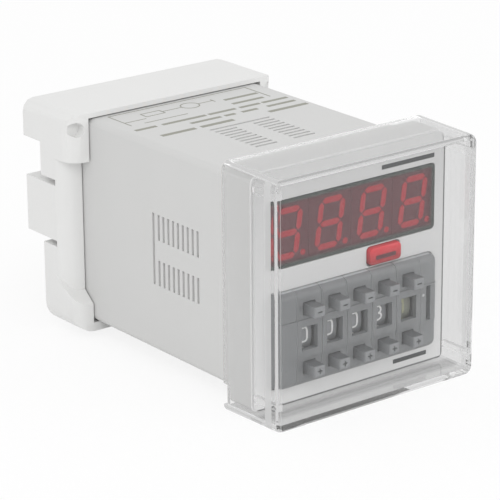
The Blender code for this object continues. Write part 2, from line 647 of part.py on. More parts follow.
def segment_outline(start, end, width, gap):
    """A hexagon from one corner of the digit to the next, pointed at both ends."""
    start = Vector(start)
    end = Vector(end)
    along = (end - start).normalized()
    across = Vector((-along.y, along.x)) * width / 2
    tip_a = start + along * gap
    tip_b = end - along * gap
    inner_a = tip_a + along * width / 2
    inner_b = tip_b - along * width / 2
    points = [tip_a, inner_a - across, inner_b - across, tip_b, inner_b + across, inner_a + across]
    return [(point.x + point.y * math.tan(DIGIT_SLANT), point.y) for point in points]


def digit_outlines():
    """The seven segments and the point, about the digit's centre."""
    side = (DIGIT_WIDTH - SEGMENT_WIDTH) / 2
    top = (DIGIT_HEIGHT - SEGMENT_WIDTH) / 2
    corners = {
        "a": ((-side, top), (side, top)),
        "b": ((side, 0), (side, top)),
        "c": ((side, -top), (side, 0)),
        "d": ((-side, -top), (side, -top)),
        "e": ((-side, -top), (-side, 0)),
        "f": ((-side, 0), (-side, top)),
        "g": ((-side, 0), (side, 0)),
    }
    outlines = [segment_outline(first, last, SEGMENT_WIDTH, SEGMENT_GAP) for first, last in corners.values()]
    across = side + SEGMENT_WIDTH * 1.5 - top * math.tan(DIGIT_SLANT)
    up = -DIGIT_HEIGHT / 2 + POINT_DIAMETER / 2
    point = []
    for step in range(8):
        angle = math.radians(45 * step)
        point.append((across + POINT_DIAMETER / 2 * math.cos(angle), up + POINT_DIAMETER / 2 * math.sin(angle)))
    outlines.append(point)
    return outlines


def build_digits(lens, board_green):
    """Four seven-segment digits on the display board."""
    half = (DIGIT_PITCH - SEAT_GAP) / 2
    body = box_mesh("digit", (-half, half), (0, DIGIT_BODY_DEPTH), (-DIGIT_BODY_HEIGHT / 2, DIGIT_BODY_HEIGHT / 2))
    face = outline_mesh("segments", digit_outlines(), -SEGMENT_RELIEF, SEGMENT_RELIEF, "Y")
    mesh = combine("digit", body, [("UNION", face)])
    for index in range(DIGIT_COUNT):
        x = (index - (DIGIT_COUNT - 1) / 2) * DIGIT_PITCH
        add_part("digit_%d" % (index + 1), mesh, lens, (x, DIGIT_FRONT_Y, DIGIT_CENTRE_Z))
    low = SWITCH_CENTRE_Z + SWITCH_BLOCK_HEIGHT / 2 + SEAT_GAP
    board = box_mesh("display_board", (-CASE_INNER + SEAT_GAP, CASE_INNER - SEAT_GAP),
                     (DISPLAY_BOARD_Y, DISPLAY_BOARD_Y + BOARD_THICKNESS), (low, CASE_INNER - SEAT_GAP))
    add_part("display_board", board, board_green)


def build_reset(red, black):
    """The reset button, and the small switch that it presses on the display board."""
    front = FACE_Y - RESET_PROUD
    rear = FLANGE_FRONT_Y + FRAME_THICKNESS + RESET_FLANGE + SEAT_GAP
    bm = bmesh.new()
    add_box(bm, (-RESET_WIDTH / 2, RESET_WIDTH / 2), (0, rear - front), (-RESET_HEIGHT / 2, RESET_HEIGHT / 2))
    round_edges(bm, edges_along(bm, 1), RESET_CORNER_RADIUS, 3)
    rim = [e for e in bm.edges if all(v.co.y < RESET_PROUD / 10 for v in e.verts)]
    round_edges(bm, rim, RESET_PROUD / 2, 2)
    cap = to_mesh(bm, "reset_button")
    lip = box_mesh("lip", (-RESET_WIDTH / 2 - RESET_FLANGE, RESET_WIDTH / 2 + RESET_FLANGE),
                   (rear - front - RESET_FLANGE, rear - front + RESET_FLANGE), (-RESET_HEIGHT / 2, RESET_HEIGHT / 2))
    button = combine("reset_button", cap, [("UNION", lip)])
    add_part("reset_button", button, red, (RESET_CENTRE_X, front, RESET_CENTRE_Z))

    plunger_front = rear + RESET_FLANGE + RESET_TRAVEL + SEAT_GAP
    body_front = plunger_front + RESET_TRAVEL
    low = RESET_CENTRE_Z - SWITCH_HEIGHT / 2
    body = box_mesh("reset_switch", (RESET_CENTRE_X - SWITCH_WIDTH / 2, RESET_CENTRE_X + SWITCH_WIDTH / 2),
                    (body_front, DISPLAY_BOARD_Y - SEAT_GAP), (low, low + SWITCH_HEIGHT))
    stem = cylinder_mesh("stem", PLUNGER_DIAMETER / 2, (RESET_CENTRE_X, plunger_front, RESET_CENTRE_Z),
                         (RESET_CENTRE_X, body_front + RESET_TRAVEL, RESET_CENTRE_Z), (0, 1, 0))
    add_part("reset_switch", combine("reset_switch", body, [("UNION", stem)]), black)


def block_profile():
    """Side profile of the number switch as (y, z): rounded edges, flat button fields, a raised band."""
    half = SWITCH_BLOCK_HEIGHT / 2
    band = BAND_HEIGHT / 2
    front = []
    for step in range(BLOCK_EDGE_STEPS + 1):
        angle = math.pi / 2 * step / BLOCK_EDGE_STEPS
        front.append((FIELD_Y + BLOCK_EDGE_RADIUS * (1 - math.sin(angle)),
                      half - BLOCK_EDGE_RADIUS * (1 - math.cos(angle))))
    front += [(FIELD_Y, band), (FACE_Y - BAND_PROUD, band)]
    mirrored = [(y, -z) for y, z in reversed(front)]
    rear = [(DECADE_REAR_Y, -half), (DECADE_REAR_Y, half)]
    return [(y, z + SWITCH_CENTRE_Z) for y, z in front + mirrored + rear]


def decade_mesh():
    """One decade's tray: open to the right, with its dial opening, button holes and wheel pivot."""
    half = DECADE_WIDTH / 2
    shell = outline_mesh("decade", [block_profile()], -half, half, "X")
    inner = -half + DECADE_WALL
    top = SWITCH_CENTRE_Z + SWITCH_BLOCK_HEIGHT / 2 - DECADE_WALL
    bottom = SWITCH_CENTRE_Z - SWITCH_BLOCK_HEIGHT / 2 + DECADE_WALL
    cavity = box_mesh("cavity", (inner, half + DECADE_WALL), (CAVITY_FRONT_Y, DECADE_REAR_Y - DECADE_REAR_BLOCK),
                      (bottom, top))
    dial = box_mesh("dial", (-DIAL_OPENING_WIDTH / 2, DIAL_OPENING_WIDTH / 2),
                    (FACE_Y - BAND_PROUD * 2, CAVITY_FRONT_Y + DECADE_WALL),
                    (SWITCH_CENTRE_Z - DIAL_OPENING_HEIGHT / 2, SWITCH_CENTRE_Z + DIAL_OPENING_HEIGHT / 2))
    steps = [("DIFFERENCE", cavity), ("DIFFERENCE", dial)]
    across = BUTTON_WIDTH / 2 + SLIDE_GAP
    up = BUTTON_HEIGHT / 2 + SLIDE_GAP
    for side in (-1, 1):
        z = SWITCH_CENTRE_Z + side * BUTTON_OFFSET
        hole = box_mesh("hole", (-across, across), (FACE_Y - BAND_PROUD * 2, CAVITY_FRONT_Y + DECADE_WALL),
                        (z - up, z + up))
        steps.append(("DIFFERENCE", hole))
    pivot = cylinder_mesh("pivot", PIVOT_RADIUS, (inner - DECADE_WALL / 2, WHEEL_AXIS_Y, SWITCH_CENTRE_Z),
                          (half - SEAT_GAP, WHEEL_AXIS_Y, SWITCH_CENTRE_Z), (1, 0, 0))
    steps.append(("UNION", pivot))
    steps.append(("DIFFERENCE", rod_holes(-half - DECADE_WALL, half + DECADE_WALL)))
    return combine("decade", shell, steps)


def rod_holes(left, right):
    """Cutter for the two tie rods' holes."""
    holes = []
    for side in (-1, 1):
        z = SWITCH_CENTRE_Z + side * ROD_SPREAD / 2
        holes.append(cylinder_mesh("hole", ROD_HOLE_RADIUS, (left, ROD_Y, z), (right, ROD_Y, z), (1, 0, 0), 8))
    return joined_mesh("rod_holes", holes)


def rounded_end(name, side, outer, front, rear, half):
    """A block from the decades out to one side, with every edge rounded but the inner and rear ones."""
    inner = side * DECADE_STACK / 2
    bm = bmesh.new()
    add_box(bm, sorted((inner, side * outer)), (front, rear), (SWITCH_CENTRE_Z - half, SWITCH_CENTRE_Z + half))
    edges = [e for e in bm.edges if any(abs(v.co.x - inner) > SEAT_GAP for v in e.verts)
             and any(rear - v.co.y > SEAT_GAP for v in e.verts)]
    round_edges(bm, edges, BLOCK_EDGE_RADIUS, BLOCK_EDGE_STEPS)
    return to_mesh(bm, name)


def end_cap_mesh(side):
    """An end cap: a wide rounded front, a thin side plate, the band's end, and right of the dials a groove."""
    inner = DECADE_STACK / 2
    outer = SWITCH_BLOCK_WIDTH / 2
    flange = rounded_end("end_cap", side, outer, FIELD_Y, DECADE_REAR_Y, SWITCH_BLOCK_HEIGHT / 2)
    bm = bmesh.new()
    add_box(bm, sorted((side * inner, side * (outer - BAND_INSET))), (FACE_Y - BAND_PROUD, FACE_Y),
            (SWITCH_CENTRE_Z - BAND_HEIGHT / 2, SWITCH_CENTRE_Z + BAND_HEIGHT / 2))
    corner = edges_along(bm, 2, lambda middle: middle.y < FIELD_Y and abs(middle.x) > inner + SEAT_GAP)
    round_edges(bm, corner, BLOCK_EDGE_RADIUS, BLOCK_EDGE_STEPS)
    band = to_mesh(bm, "band")
    plate_low, plate_high = sorted((side * (inner + END_PLATE), side * (outer + END_PLATE)))
    half = SWITCH_BLOCK_HEIGHT / 2 + END_PLATE
    waste = box_mesh("waste", (plate_low, plate_high), (FACE_Y + END_FLANGE_DEPTH, DECADE_REAR_Y + END_PLATE),
                     (SWITCH_CENTRE_Z - half, SWITCH_CENTRE_Z + half))
    groove = box_mesh("groove", (inner + END_PLATE, inner + END_PLATE + GROOVE_WIDTH),
                      (FACE_Y - BAND_PROUD * 2, FACE_Y - BAND_PROUD + GROOVE_DEPTH),
                      (SWITCH_CENTRE_Z - BAND_HEIGHT / 2 + GROOVE_MARGIN,
                       SWITCH_CENTRE_Z + BAND_HEIGHT / 2 - GROOVE_MARGIN))
    left, right = sorted((side * (inner - END_PLATE), side * (inner + END_PLATE * 2)))
    steps = [("UNION", band), ("DIFFERENCE", waste), ("DIFFERENCE", rod_holes(left, right))]
    if side > 0:
        steps.append(("DIFFERENCE", groove))
    return combine("end_cap", flange, steps)


def wheel_mesh():
    """A number wheel: rim, web and hub turned in one, with the ratchet star on its right side."""
    half = WHEEL_WIDTH / 2
    web = WHEEL_WEB / 2
    bore = PIVOT_RADIUS + SLIDE_GAP
    inside = WHEEL_RADIUS - WHEEL_RIM
    profile = [
        (0.0, half), (HUB_RADIUS, half), (HUB_RADIUS, web), (inside, web), (inside, half), (WHEEL_RADIUS, half),
        (WHEEL_RADIUS, -half), (inside, -half), (inside, -web), (HUB_RADIUS, -web), (HUB_RADIUS, -half), (0.0, -half),
    ]
    drum = turned_mesh("number_wheel", profile, (1, 0, 0), (0, 0, 0), RATCHET_TEETH * 3)
    star = []
    for tooth in range(RATCHET_TEETH):
        start = 2 * math.pi * tooth / RATCHET_TEETH
        for share, radius in ((0.0, RATCHET_RADIUS), (0.5, RATCHET_ROOT)):
            angle = start + share * 2 * math.pi / RATCHET_TEETH
            star.append((radius * math.cos(angle), radius * math.sin(angle)))
    ratchet = outline_mesh("ratchet", [star], 0.0, half + RATCHET_WIDTH, "X")
    hole = cylinder_mesh("hole", bore, (-WHEEL_WIDTH, 0, 0), (WHEEL_WIDTH, 0, 0), (1, 0, 0))
    return combine("number_wheel", drum, [("UNION", ratchet), ("DIFFERENCE", hole)])


def button_mesh(side):
    """A button: its head with a sunk minus or plus mark, its lip and the pawl beside the wheel."""
    front = FACE_Y - BUTTON_PROUD
    lip_front = LIP_FRONT_Y - front
    half = BUTTON_WIDTH / 2
    up = BUTTON_HEIGHT / 2
    bm = bmesh.new()
    add_box(bm, (-half, half), (0, lip_front + BUTTON_LIP_DEPTH / 2), (-up, up))
    rim = [e for e in bm.edges if all(v.co.y < up / 10 for v in e.verts)]
    round_edges(bm, rim, BUTTON_LIP / 2, 1)
    head = to_mesh(bm, "button")
    lip_low, lip_high = sorted((-side * up, side * (up + BUTTON_LIP)))
    lip = box_mesh("lip", (-half - BUTTON_LIP, half + BUTTON_LIP), (lip_front, lip_front + BUTTON_LIP_DEPTH),
                   (lip_low, lip_high))
    pawl_x = WHEEL_WIDTH / 2 + SLIDE_GAP
    bottom, top = sorted((side * (RATCHET_RADIUS + SLIDE_GAP * 2 - BUTTON_OFFSET),
                          side * (RATCHET_RADIUS + SLIDE_GAP * 2 - BUTTON_OFFSET + PAWL_HEIGHT)))
    root = box_mesh("root", (half, pawl_x + PAWL_THICKNESS), (lip_front, lip_front + BUTTON_LIP_DEPTH), (-up, up))
    pawl = box_mesh("pawl", (pawl_x, pawl_x + PAWL_THICKNESS), (lip_front, lip_front + PAWL_LENGTH), (bottom, top))
    steps = [("UNION", lip), ("UNION", root), ("UNION", pawl)]
    bar = box_mesh("bar", (-MARK_WIDTH / 2, MARK_WIDTH / 2), (-MARK_DEPTH, MARK_DEPTH),
                   (-MARK_THICKNESS / 2, MARK_THICKNESS / 2))
    steps.append(("DIFFERENCE", bar))
    if side < 0:
        upright = box_mesh("upright", (-MARK_THICKNESS / 2, MARK_THICKNESS / 2), (-MARK_DEPTH, MARK_DEPTH),
                           (-MARK_WIDTH / 2, MARK_WIDTH / 2))
        steps.append(("DIFFERENCE", upright))
    return combine("button", head, steps)


def build_number_switch(dark, mid, steel, board_green):
    """Five decades, their wheels and buttons, the end caps, the rods and the wiring board."""
    tray = decade_mesh()
    wheel = wheel_mesh()
    minus = button_mesh(1)
    plus = button_mesh(-1)
    for index in range(DECADE_COUNT):
        number = index + 1
        x = (index - (DECADE_COUNT - 1) / 2) * DECADE_PITCH
        add_part("decade_housing_%d" % number, tray, dark, (x, 0, 0))
        add_part("number_wheel_%d" % number, wheel, dark, (x, WHEEL_AXIS_Y, SWITCH_CENTRE_Z))
        y = FACE_Y - BUTTON_PROUD
        add_part("minus_button_%d" % number, minus, mid, (x, y, SWITCH_CENTRE_Z + BUTTON_OFFSET))
        add_part("plus_button_%d" % number, plus, mid, (x, y, SWITCH_CENTRE_Z - BUTTON_OFFSET))
    add_part("left_end_cap", end_cap_mesh(-1), dark)
    add_part("right_end_cap", end_cap_mesh(1), dark)
    reach = DECADE_STACK / 2 + END_PLATE
    for name, side in (("upper_tie_rod", 1), ("lower_tie_rod", -1)):
        z = SWITCH_CENTRE_Z + side * ROD_SPREAD / 2
        rod = cylinder_mesh(name, ROD_RADIUS, (-reach, 0, 0), (reach, 0, 0), (1, 0, 0), 8)
        add_part(name, rod, steel, (0, ROD_Y, z))
    front = DECADE_REAR_Y + SEAT_GAP
    board = box_mesh("number_switch_board", (-DECADE_STACK / 2, DECADE_STACK / 2),
                     (front, front + BOARD_THICKNESS),
                     (SWITCH_CENTRE_Z - SWITCH_BLOCK_HEIGHT / 2, SWITCH_CENTRE_Z + SWITCH_BLOCK_HEIGHT / 2))
    add_part("number_switch_board", board, board_green)


def build_electronics(board_green, steel, tape, blue, black):
    """The two side boards with the transformer, the relay and the capacitor on them."""
    edge = CASE_INNER - SEAT_GAP
    for name, side in (("power_board", -1), ("logic_board", 1)):
        low, high = sorted((side * SIDE_BOARD_X, side * (SIDE_BOARD_X + BOARD_THICKNESS)))
        add_part(name, box_mesh(name, (low, high), (SIDE_BOARD_FRONT, SIDE_BOARD_REAR), (-edge, edge)), board_green)

    seat = SIDE_BOARD_X - SEAT_GAP
    core_half_y = CORE_LEG * 2 + CORE_WINDOW_WIDTH
    core_half_z = CORE_WINDOW_HEIGHT / 2 + CORE_LEG
    middle = Vector((COIL_THICKNESS + CORE_STACK / 2 - seat,
                     SIDE_BOARD_REAR - TRANSFORMER_REAR_ROOM - core_half_y, TRANSFORMER_Z))
    stack = CORE_STACK / 2
    core = box_mesh("transformer_core", (-stack, stack), (-core_half_y, core_half_y), (-core_half_z, core_half_z))
    cuts = []
    for side in (-1, 1):
        near, far = sorted((side * CORE_LEG, side * (CORE_LEG + CORE_WINDOW_WIDTH)))
        cuts.append(box_mesh("window", (-CORE_STACK, CORE_STACK), (near, far),
                             (-CORE_WINDOW_HEIGHT / 2, CORE_WINDOW_HEIGHT / 2)))
    core = combine("transformer_core", core, [("DIFFERENCE", cut) for cut in cuts])
    add_part("transformer_core", core, steel, middle)
    outer_x = stack + COIL_THICKNESS
    outer_y = CORE_LEG + CORE_WINDOW_WIDTH - SEAT_GAP
    outer_z = CORE_WINDOW_HEIGHT / 2 - SEAT_GAP
    coil = box_mesh("transformer_coil", (-outer_x, outer_x), (-outer_y, outer_y), (-outer_z, outer_z),
                    COIL_THICKNESS / 3, 2, 2)
    leg = box_mesh("leg", (-stack - SEAT_GAP, stack + SEAT_GAP), (-CORE_LEG - SEAT_GAP, CORE_LEG + SEAT_GAP),
                   (-core_half_z, core_half_z))
    add_part("transformer_coil", combine("transformer_coil", coil, [("DIFFERENCE", leg)]), tape, middle)

    front = SIDE_BOARD_FRONT + RELAY_SETBACK
    relay = box_mesh("relay", (seat - RELAY_RISE, seat), (front, front + RELAY_DEPTH),
                     (RELAY_Z - RELAY_HEIGHT / 2, RELAY_Z + RELAY_HEIGHT / 2), RELAY_RISE / 20, 1, 0)
    add_part("relay", relay, blue)
    y = SIDE_BOARD_FRONT + CAPACITOR_SETBACK
    can = cylinder_mesh("capacitor", CAPACITOR_RADIUS, (seat, y, CAPACITOR_Z),
                        (seat - CAPACITOR_LENGTH, y, CAPACITOR_Z), (-1, 0, 0), 16, CAPACITOR_RADIUS / 10)
    add_part("capacitor", can, black)


def plug_mesh():
    """The octal base: inner flange, boss and keyed post turned in one, with blind pin sockets."""
    flange_rear = PLUG_FLANGE_FRONT + PLUG_FLANGE_THICKNESS
    tip = OVERALL_LENGTH
    profile = [
        (0.0, tip), (KEY_POST_RADIUS - KEY_RIB_HEIGHT, tip), (KEY_POST_RADIUS, tip - KEY_RIB_HEIGHT),
        (KEY_POST_RADIUS, PLUG_REAR_Y), (PLUG_RADIUS - KEY_RIB_HEIGHT / 2, PLUG_REAR_Y),
        (PLUG_RADIUS, PLUG_REAR_Y - KEY_RIB_HEIGHT / 2), (PLUG_RADIUS, flange_rear),
        (PLUG_FLANGE_RADIUS, flange_rear), (PLUG_FLANGE_RADIUS, PLUG_FLANGE_FRONT), (0.0, PLUG_FLANGE_FRONT),
    ]
    base = turned_mesh("plug_base", profile, (0, 1, 0), (0, 0, 0), ROUND_STEPS)
    rib = box_mesh("rib", (-KEY_RIB_WIDTH / 2, KEY_RIB_WIDTH / 2),
                   (PLUG_REAR_Y - KEY_RIB_HEIGHT, tip - KEY_RIB_HEIGHT * 2),
                   (-KEY_POST_RADIUS - KEY_RIB_HEIGHT, -KEY_POST_RADIUS + KEY_RIB_HEIGHT))
    sockets = []
    for index in range(PIN_COUNT):
        x, z = pin_place(index)
        sockets.append(cylinder_mesh("socket", PIN_RADIUS + SLIDE_GAP, (x, PLUG_REAR_Y - PIN_SOCKET_DEPTH, z),
                                     (x, PLUG_REAR_Y + PIN_SOCKET_DEPTH, z), (0, 1, 0)))
    return combine("plug_base", base, [("UNION", rib), ("DIFFERENCE", joined_mesh("sockets", sockets))])


def pin_place(index):
    """Where a pin stands on the pin circle, the key being between the first and the last."""
    angle = math.radians(-90) + 2 * math.pi * (index + 0.5) / PIN_COUNT
    return PIN_CIRCLE_RADIUS * math.cos(angle), PIN_CIRCLE_RADIUS * math.sin(angle)


def build_plug(black, brass):
    """The octal base and its eight pins."""
    add_part("plug_base", plug_mesh(), black)
    inside = PIN_SOCKET_DEPTH - SEAT_GAP
    pin = cylinder_mesh("pin", PIN_RADIUS, (0, -inside, 0), (0, PIN_LENGTH, 0), (0, 1, 0), SMALL_STEPS,
                        PIN_RADIUS / 2)
    for index in range(PIN_COUNT):
        x, z = pin_place(index)
        add_part("plug_pin_%d" % (index + 1), pin, brass, (x, PLUG_REAR_Y, z))


def rounded_block(front):
    """A block with rounded front corners, from a level along Y to well behind the bracket."""
    half = BRACKET_WIDTH / 2
    bm = bmesh.new()
    add_box(bm, (-half, half), (front, BRACKET_REAR_Y + half), (-BRACKET_WIDTH, BRACKET_WIDTH))
    corners = edges_along(bm, 2, lambda middle: middle.y < BRACKET_REAR_Y)
    round_edges(bm, corners, BRACKET_CHEEK_RADIUS, 4)
    return to_mesh(bm, "rounded_block")


def bracket_side_cuts(side):
    """What is cut from one side wall: in front between the blocks, and at the rear round the tab."""
    front = BRACKET_FRONT_Y + BRACKET_SIDE_SETBACK
    near = BRACKET_FRONT_Y - BRACKET_CHEEK_RADIUS
    deep = front + BRACKET_CHEEK_RADIUS
    fall = LOWER_BLOCK_CHAMFER / BRACKET_SIDE_SETBACK
    front_cut = [
        (near, UPPER_BLOCK_Z), (deep, UPPER_BLOCK_Z),
        (deep, LOWER_BLOCK_Z + (deep - front) * fall), (near, LOWER_BLOCK_Z + (near - front) * fall),
    ]
    behind = BRACKET_REAR_Y + BRACKET_LENGTH
    neck = BRACKET_REAR_Y - NECK_SETBACK
    lower = BRACKET_REAR_Y - LOWER_SETBACK
    root = neck - TAB_SLIT_DEPTH
    tab = BRACKET_REAR_Y - TAB_SETBACK
    rear_cut = [
        (behind, EAR_Z), (neck, EAR_Z), (neck, TAB_TOP_Z + TAB_SLIT), (root, TAB_TOP_Z + TAB_SLIT),
        (root, TAB_TOP_Z), (tab, TAB_TOP_Z), (tab, TAB_BOTTOM_Z), (root, TAB_BOTTOM_Z),
        (root, TAB_BOTTOM_Z - TAB_SLIT), (lower, TAB_BOTTOM_Z - TAB_SLIT), (behind, TAB_BOTTOM_Z - TAB_SLIT),
    ]
    inner = BRACKET_INNER - BRACKET_WALL
    low, high = sorted((side * inner, side * BRACKET_WIDTH))
    strip = outline_mesh("strip", [front_cut], low, high, "X")
    return [combine("strip", strip, [("DIFFERENCE", rounded_block(front))]),
            outline_mesh("rear_cut", [rear_cut], low, high, "X")]


def bracket_pockets(side):
    """The pockets that core out one cheek from behind, above and below the release tab."""
    across = sorted((side * (BRACKET_INNER + CHEEK_SKIN), side * (BRACKET_WIDTH / 2 - CHEEK_SKIN)))
    deep = BRACKET_FRONT_Y + BRACKET_SIDE_SETBACK + CHEEK_SKIN * 2
    far = BRACKET_REAR_Y + CHEEK_SKIN
    end = BRACKET_INNER - CHEEK_SKIN
    upper = box_mesh("pocket", across, (deep, far), (TAB_TOP_Z + TAB_SLIT + CHEEK_SKIN, end))
    lower = box_mesh("pocket", across, (deep, far), (-end, TAB_BOTTOM_Z - TAB_SLIT - CHEEK_SKIN))
    return upper, lower


def build_bracket(white):
    """The slide-on bracket: a ring with thick cheeks, front blocks, rear ears and release tabs."""
    half = BRACKET_WIDTH / 2
    bm = bmesh.new()
    add_box(bm, (-half, half), (BRACKET_FRONT_Y, BRACKET_REAR_Y), (-BRACKET_INNER - BRACKET_BASE, BRACKET_TOP))
    round_edges(bm, edges_along(bm, 1, lambda middle: middle.z > 0), BRACKET_CORNER_RADIUS, 3)
    round_edges(bm, edges_along(bm, 1, lambda middle: middle.z < 0), BRACKET_BASE_RADIUS, 5)
    ring = to_mesh(bm, "mounting_bracket")
    hole = box_mesh("hole", (-BRACKET_INNER, BRACKET_INNER),
                    (BRACKET_FRONT_Y - BRACKET_LENGTH, BRACKET_REAR_Y + BRACKET_LENGTH),
                    (-BRACKET_INNER, BRACKET_INNER))
    rear_waste = box_mesh("rear_waste", (-half * 2, half * 2), (BRACKET_REAR_Y - LOWER_SETBACK, BRACKET_REAR_Y + half),
                          (-half * 2, TAB_BOTTOM_Z - TAB_SLIT))
    steps = [("INTERSECT", rounded_block(BRACKET_FRONT_Y)), ("DIFFERENCE", hole), ("DIFFERENCE", rear_waste)]
    for side in (-1, 1):
        for cut in bracket_side_cuts(side):
            steps.append(("DIFFERENCE", cut))
        for pocket in bracket_pockets(side):
            steps.append(("DIFFERENCE", pocket))
        x = side * (half - DIMPLE_INSET)
        skin = BRACKET_FRONT_Y + BRACKET_CHEEK_RADIUS / 4
        dimple = cylinder_mesh("dimple", DIMPLE_RADIUS, (x, BRACKET_FRONT_Y - DIMPLE_DEPTH, DIMPLE_Z),
                               (x, skin + DIMPLE_DEPTH, DIMPLE_Z), (0, 1, 0))
        steps.append(("DIFFERENCE", dimple))
    add_part("mounting_bracket", combine("mounting_bracket", ring, steps), white)


def main():
    """Build every piece."""
    case_grey = make_material("case_grey", (0.62, 0.62, 0.61), 0.5)
    bracket_white = make_material("bracket_white", (0.78, 0.78, 0.77), 0.5)
    plate_grey = make_material("plate_grey", (0.60, 0.60, 0.60), 0.45)
    smoked = make_material("smoked_window", (0.13, 0.12, 0.12), 0.2)
    clear = make_material("clear_plastic", (0.95, 0.95, 0.95), 0.05, transmission=1.0)
    lens = make_material("digit_lens", (0.45, 0.08, 0.10), 0.4)
    red = make_material("reset_red", (0.72, 0.06, 0.08), 0.35)
    dark = make_material("switch_grey", (0.21, 0.22, 0.22), 0.45)
    mid = make_material("button_grey", (0.26, 0.27, 0.28), 0.4)
    black = make_material("plug_black", (0.03, 0.03, 0.03), 0.5)
    brass = make_material("pin_brass", (0.75, 0.65, 0.42), 0.3, metallic=1.0)
    steel = make_material("plain_steel", (0.55, 0.55, 0.56), 0.35, metallic=1.0)
    tape = make_material("coil_tape", (0.75, 0.55, 0.12), 0.5)
    blue = make_material("relay_blue", (0.05, 0.16, 0.42), 0.4)
    board_green = make_material("board_green", (0.04, 0.22, 0.10), 0.5)
    build_case(case_grey)
    build_cover(clear)
    build_face(plate_grey, smoked, case_grey)
    build_digits(lens, board_green)
    build_reset(red, black)
    build_number_switch(dark, mid, steel, board_green)
    build_electronics(board_green, steel, tape, blue, black)
    build_plug(black, brass)
    build_bracket(bracket_white)


clear_scene()
PARTS = new_collection("panel_counter")
CUTTERS = new_collection("cutters")
CARRIER = bpy.data.objects.new("carrier", None)
PARTS.objects.link(CARRIER)
CARRIER.location = (0.0, -OVERALL_LENGTH / 2, COVER_REAR_HALF)
main()
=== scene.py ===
# %% [markdown]
# # A panel counter behind its clear cover
#
# The counter arrives as a finished set of solid parts. This lesson gives each part its real surface:
# moulded plastic, printed film, a smoked window with dim red segments, white numerals on the number wheels
# and a clear cap in front of everything. All lengths are metres, and the parts already stand where they
# belong.

import json
import math

import bpy
import numpy as np
from mathutils import Matrix, Vector


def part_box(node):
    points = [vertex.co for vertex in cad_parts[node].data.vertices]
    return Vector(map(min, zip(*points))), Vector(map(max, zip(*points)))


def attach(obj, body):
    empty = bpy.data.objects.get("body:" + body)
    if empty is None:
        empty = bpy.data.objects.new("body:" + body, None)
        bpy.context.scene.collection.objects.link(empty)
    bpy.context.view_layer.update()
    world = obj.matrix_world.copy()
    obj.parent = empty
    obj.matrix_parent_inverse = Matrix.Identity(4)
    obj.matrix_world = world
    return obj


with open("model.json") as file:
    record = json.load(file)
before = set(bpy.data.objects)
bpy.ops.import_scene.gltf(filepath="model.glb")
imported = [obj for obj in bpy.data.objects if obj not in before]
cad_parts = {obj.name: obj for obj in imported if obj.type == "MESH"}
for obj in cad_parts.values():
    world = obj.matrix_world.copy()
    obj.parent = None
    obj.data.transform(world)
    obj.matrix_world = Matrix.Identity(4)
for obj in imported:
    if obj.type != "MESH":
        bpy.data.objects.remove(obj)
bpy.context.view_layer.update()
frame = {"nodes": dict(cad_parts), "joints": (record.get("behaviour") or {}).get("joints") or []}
nodes = frame["nodes"]

# %% [markdown]
# Every place below is measured from a part, so that the finish follows the part if its size changes. The
# cover gives the middle line and the front, the plate its depth, and the case its flat top and its flange.
# A hair is how far a mask reaches past the face that it means.

# %% Places taken from the parts
cover_low, cover_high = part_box("clear_cover")
plate_low, plate_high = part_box("face_plate")
MIDDLE_Z = (cover_low.z + cover_high.z) / 2
COVER_FRONT = cover_low.y
PLATE_FRONT = plate_low.y
HAIR = 0.0001


def corner_array(name):
    """All the corners of a part's mesh as one array of rows (x, y, z)."""
    flat = np.empty(len(nodes[name].data.vertices) * 3, np.float32)
    nodes[name].data.vertices.foreach_get("co", flat)
    return flat.reshape(-1, 3)


case_corners = corner_array("case")
rear_half = case_corners[:, 1] > case_corners[:, 1].mean()
CASE_TOP = float(case_corners[rear_half, 2].max())
FLANGE_FRONT = float(case_corners[:, 1].min())
print("cover front", round(COVER_FRONT, 5), "middle height", round(MIDDLE_Z, 5))
print("case top", round(CASE_TOP, 5), "flange front", round(FLANGE_FRONT, 5))

# %% [markdown]
# The photograph was taken with a long lens from the left, a little above. A camera is a place and three
# directions: back, right and up. Building them from an azimuth, an elevation and a small roll keeps each
# angle readable, and the lens follows from the picture's 500 pixels across a 36 mm sensor.

# %% Camera at the photograph's angle
AZIMUTH = math.radians(-37.78)
ELEVATION = math.radians(19.23)
ROLL = math.radians(-0.41)
DISTANCE = 0.4828
FOCAL_PIXELS = 2588.5
PICTURE_PIXELS = 500
SENSOR_WIDTH = 36
AIM = Vector((-0.03166, COVER_FRONT, MIDDLE_Z + 0.01367))


def camera_directions(azimuth, elevation, roll):
    """Back points from the aim to the eye, right is level, and up completes the three; roll turns the two."""
    back = Vector((math.sin(azimuth) * math.cos(elevation), -math.cos(azimuth) * math.cos(elevation),
                   math.sin(elevation)))
    level = Vector((math.cos(azimuth), math.sin(azimuth), 0.0))
    upright = back.cross(level)
    right = level * math.cos(roll) + upright * math.sin(roll)
    up = upright * math.cos(roll) - level * math.sin(roll)
    return right, up, back


right, up, back = camera_directions(AZIMUTH, ELEVATION, ROLL)
eye = AIM + back * DISTANCE
camera_data = bpy.data.cameras.new("camera")
camera_data.sensor_width = SENSOR_WIDTH
camera_data.lens = FOCAL_PIXELS * SENSOR_WIDTH / PICTURE_PIXELS
camera_data.clip_start = 0.01
camera = bpy.data.objects.new("camera", camera_data)
camera.matrix_world = Matrix((
    (right.x, up.x, back.x, eye.x),
    (right.y, up.y, back.y, eye.y),
    (right.z, up.z, back.z, eye.z),
    (0, 0, 0, 1)))
bpy.context.scene.collection.objects.link(camera)
bpy.context.scene.camera = camera
bpy.context.scene.view_settings.view_transform = "Standard"
print("lens", round(camera_data.lens, 1), "mm, eye", [round(v, 3) for v in eye])

# %% [markdown]
# The parts come as flat triangles, so a rounded edge would shine in stripes. Three modifiers mend that
# without touching the shape: one joins the loose triangles, one shades smoothly across every fold of less
# than 35 degrees, and one lets the large flat faces keep their direction at the edges of a fillet.

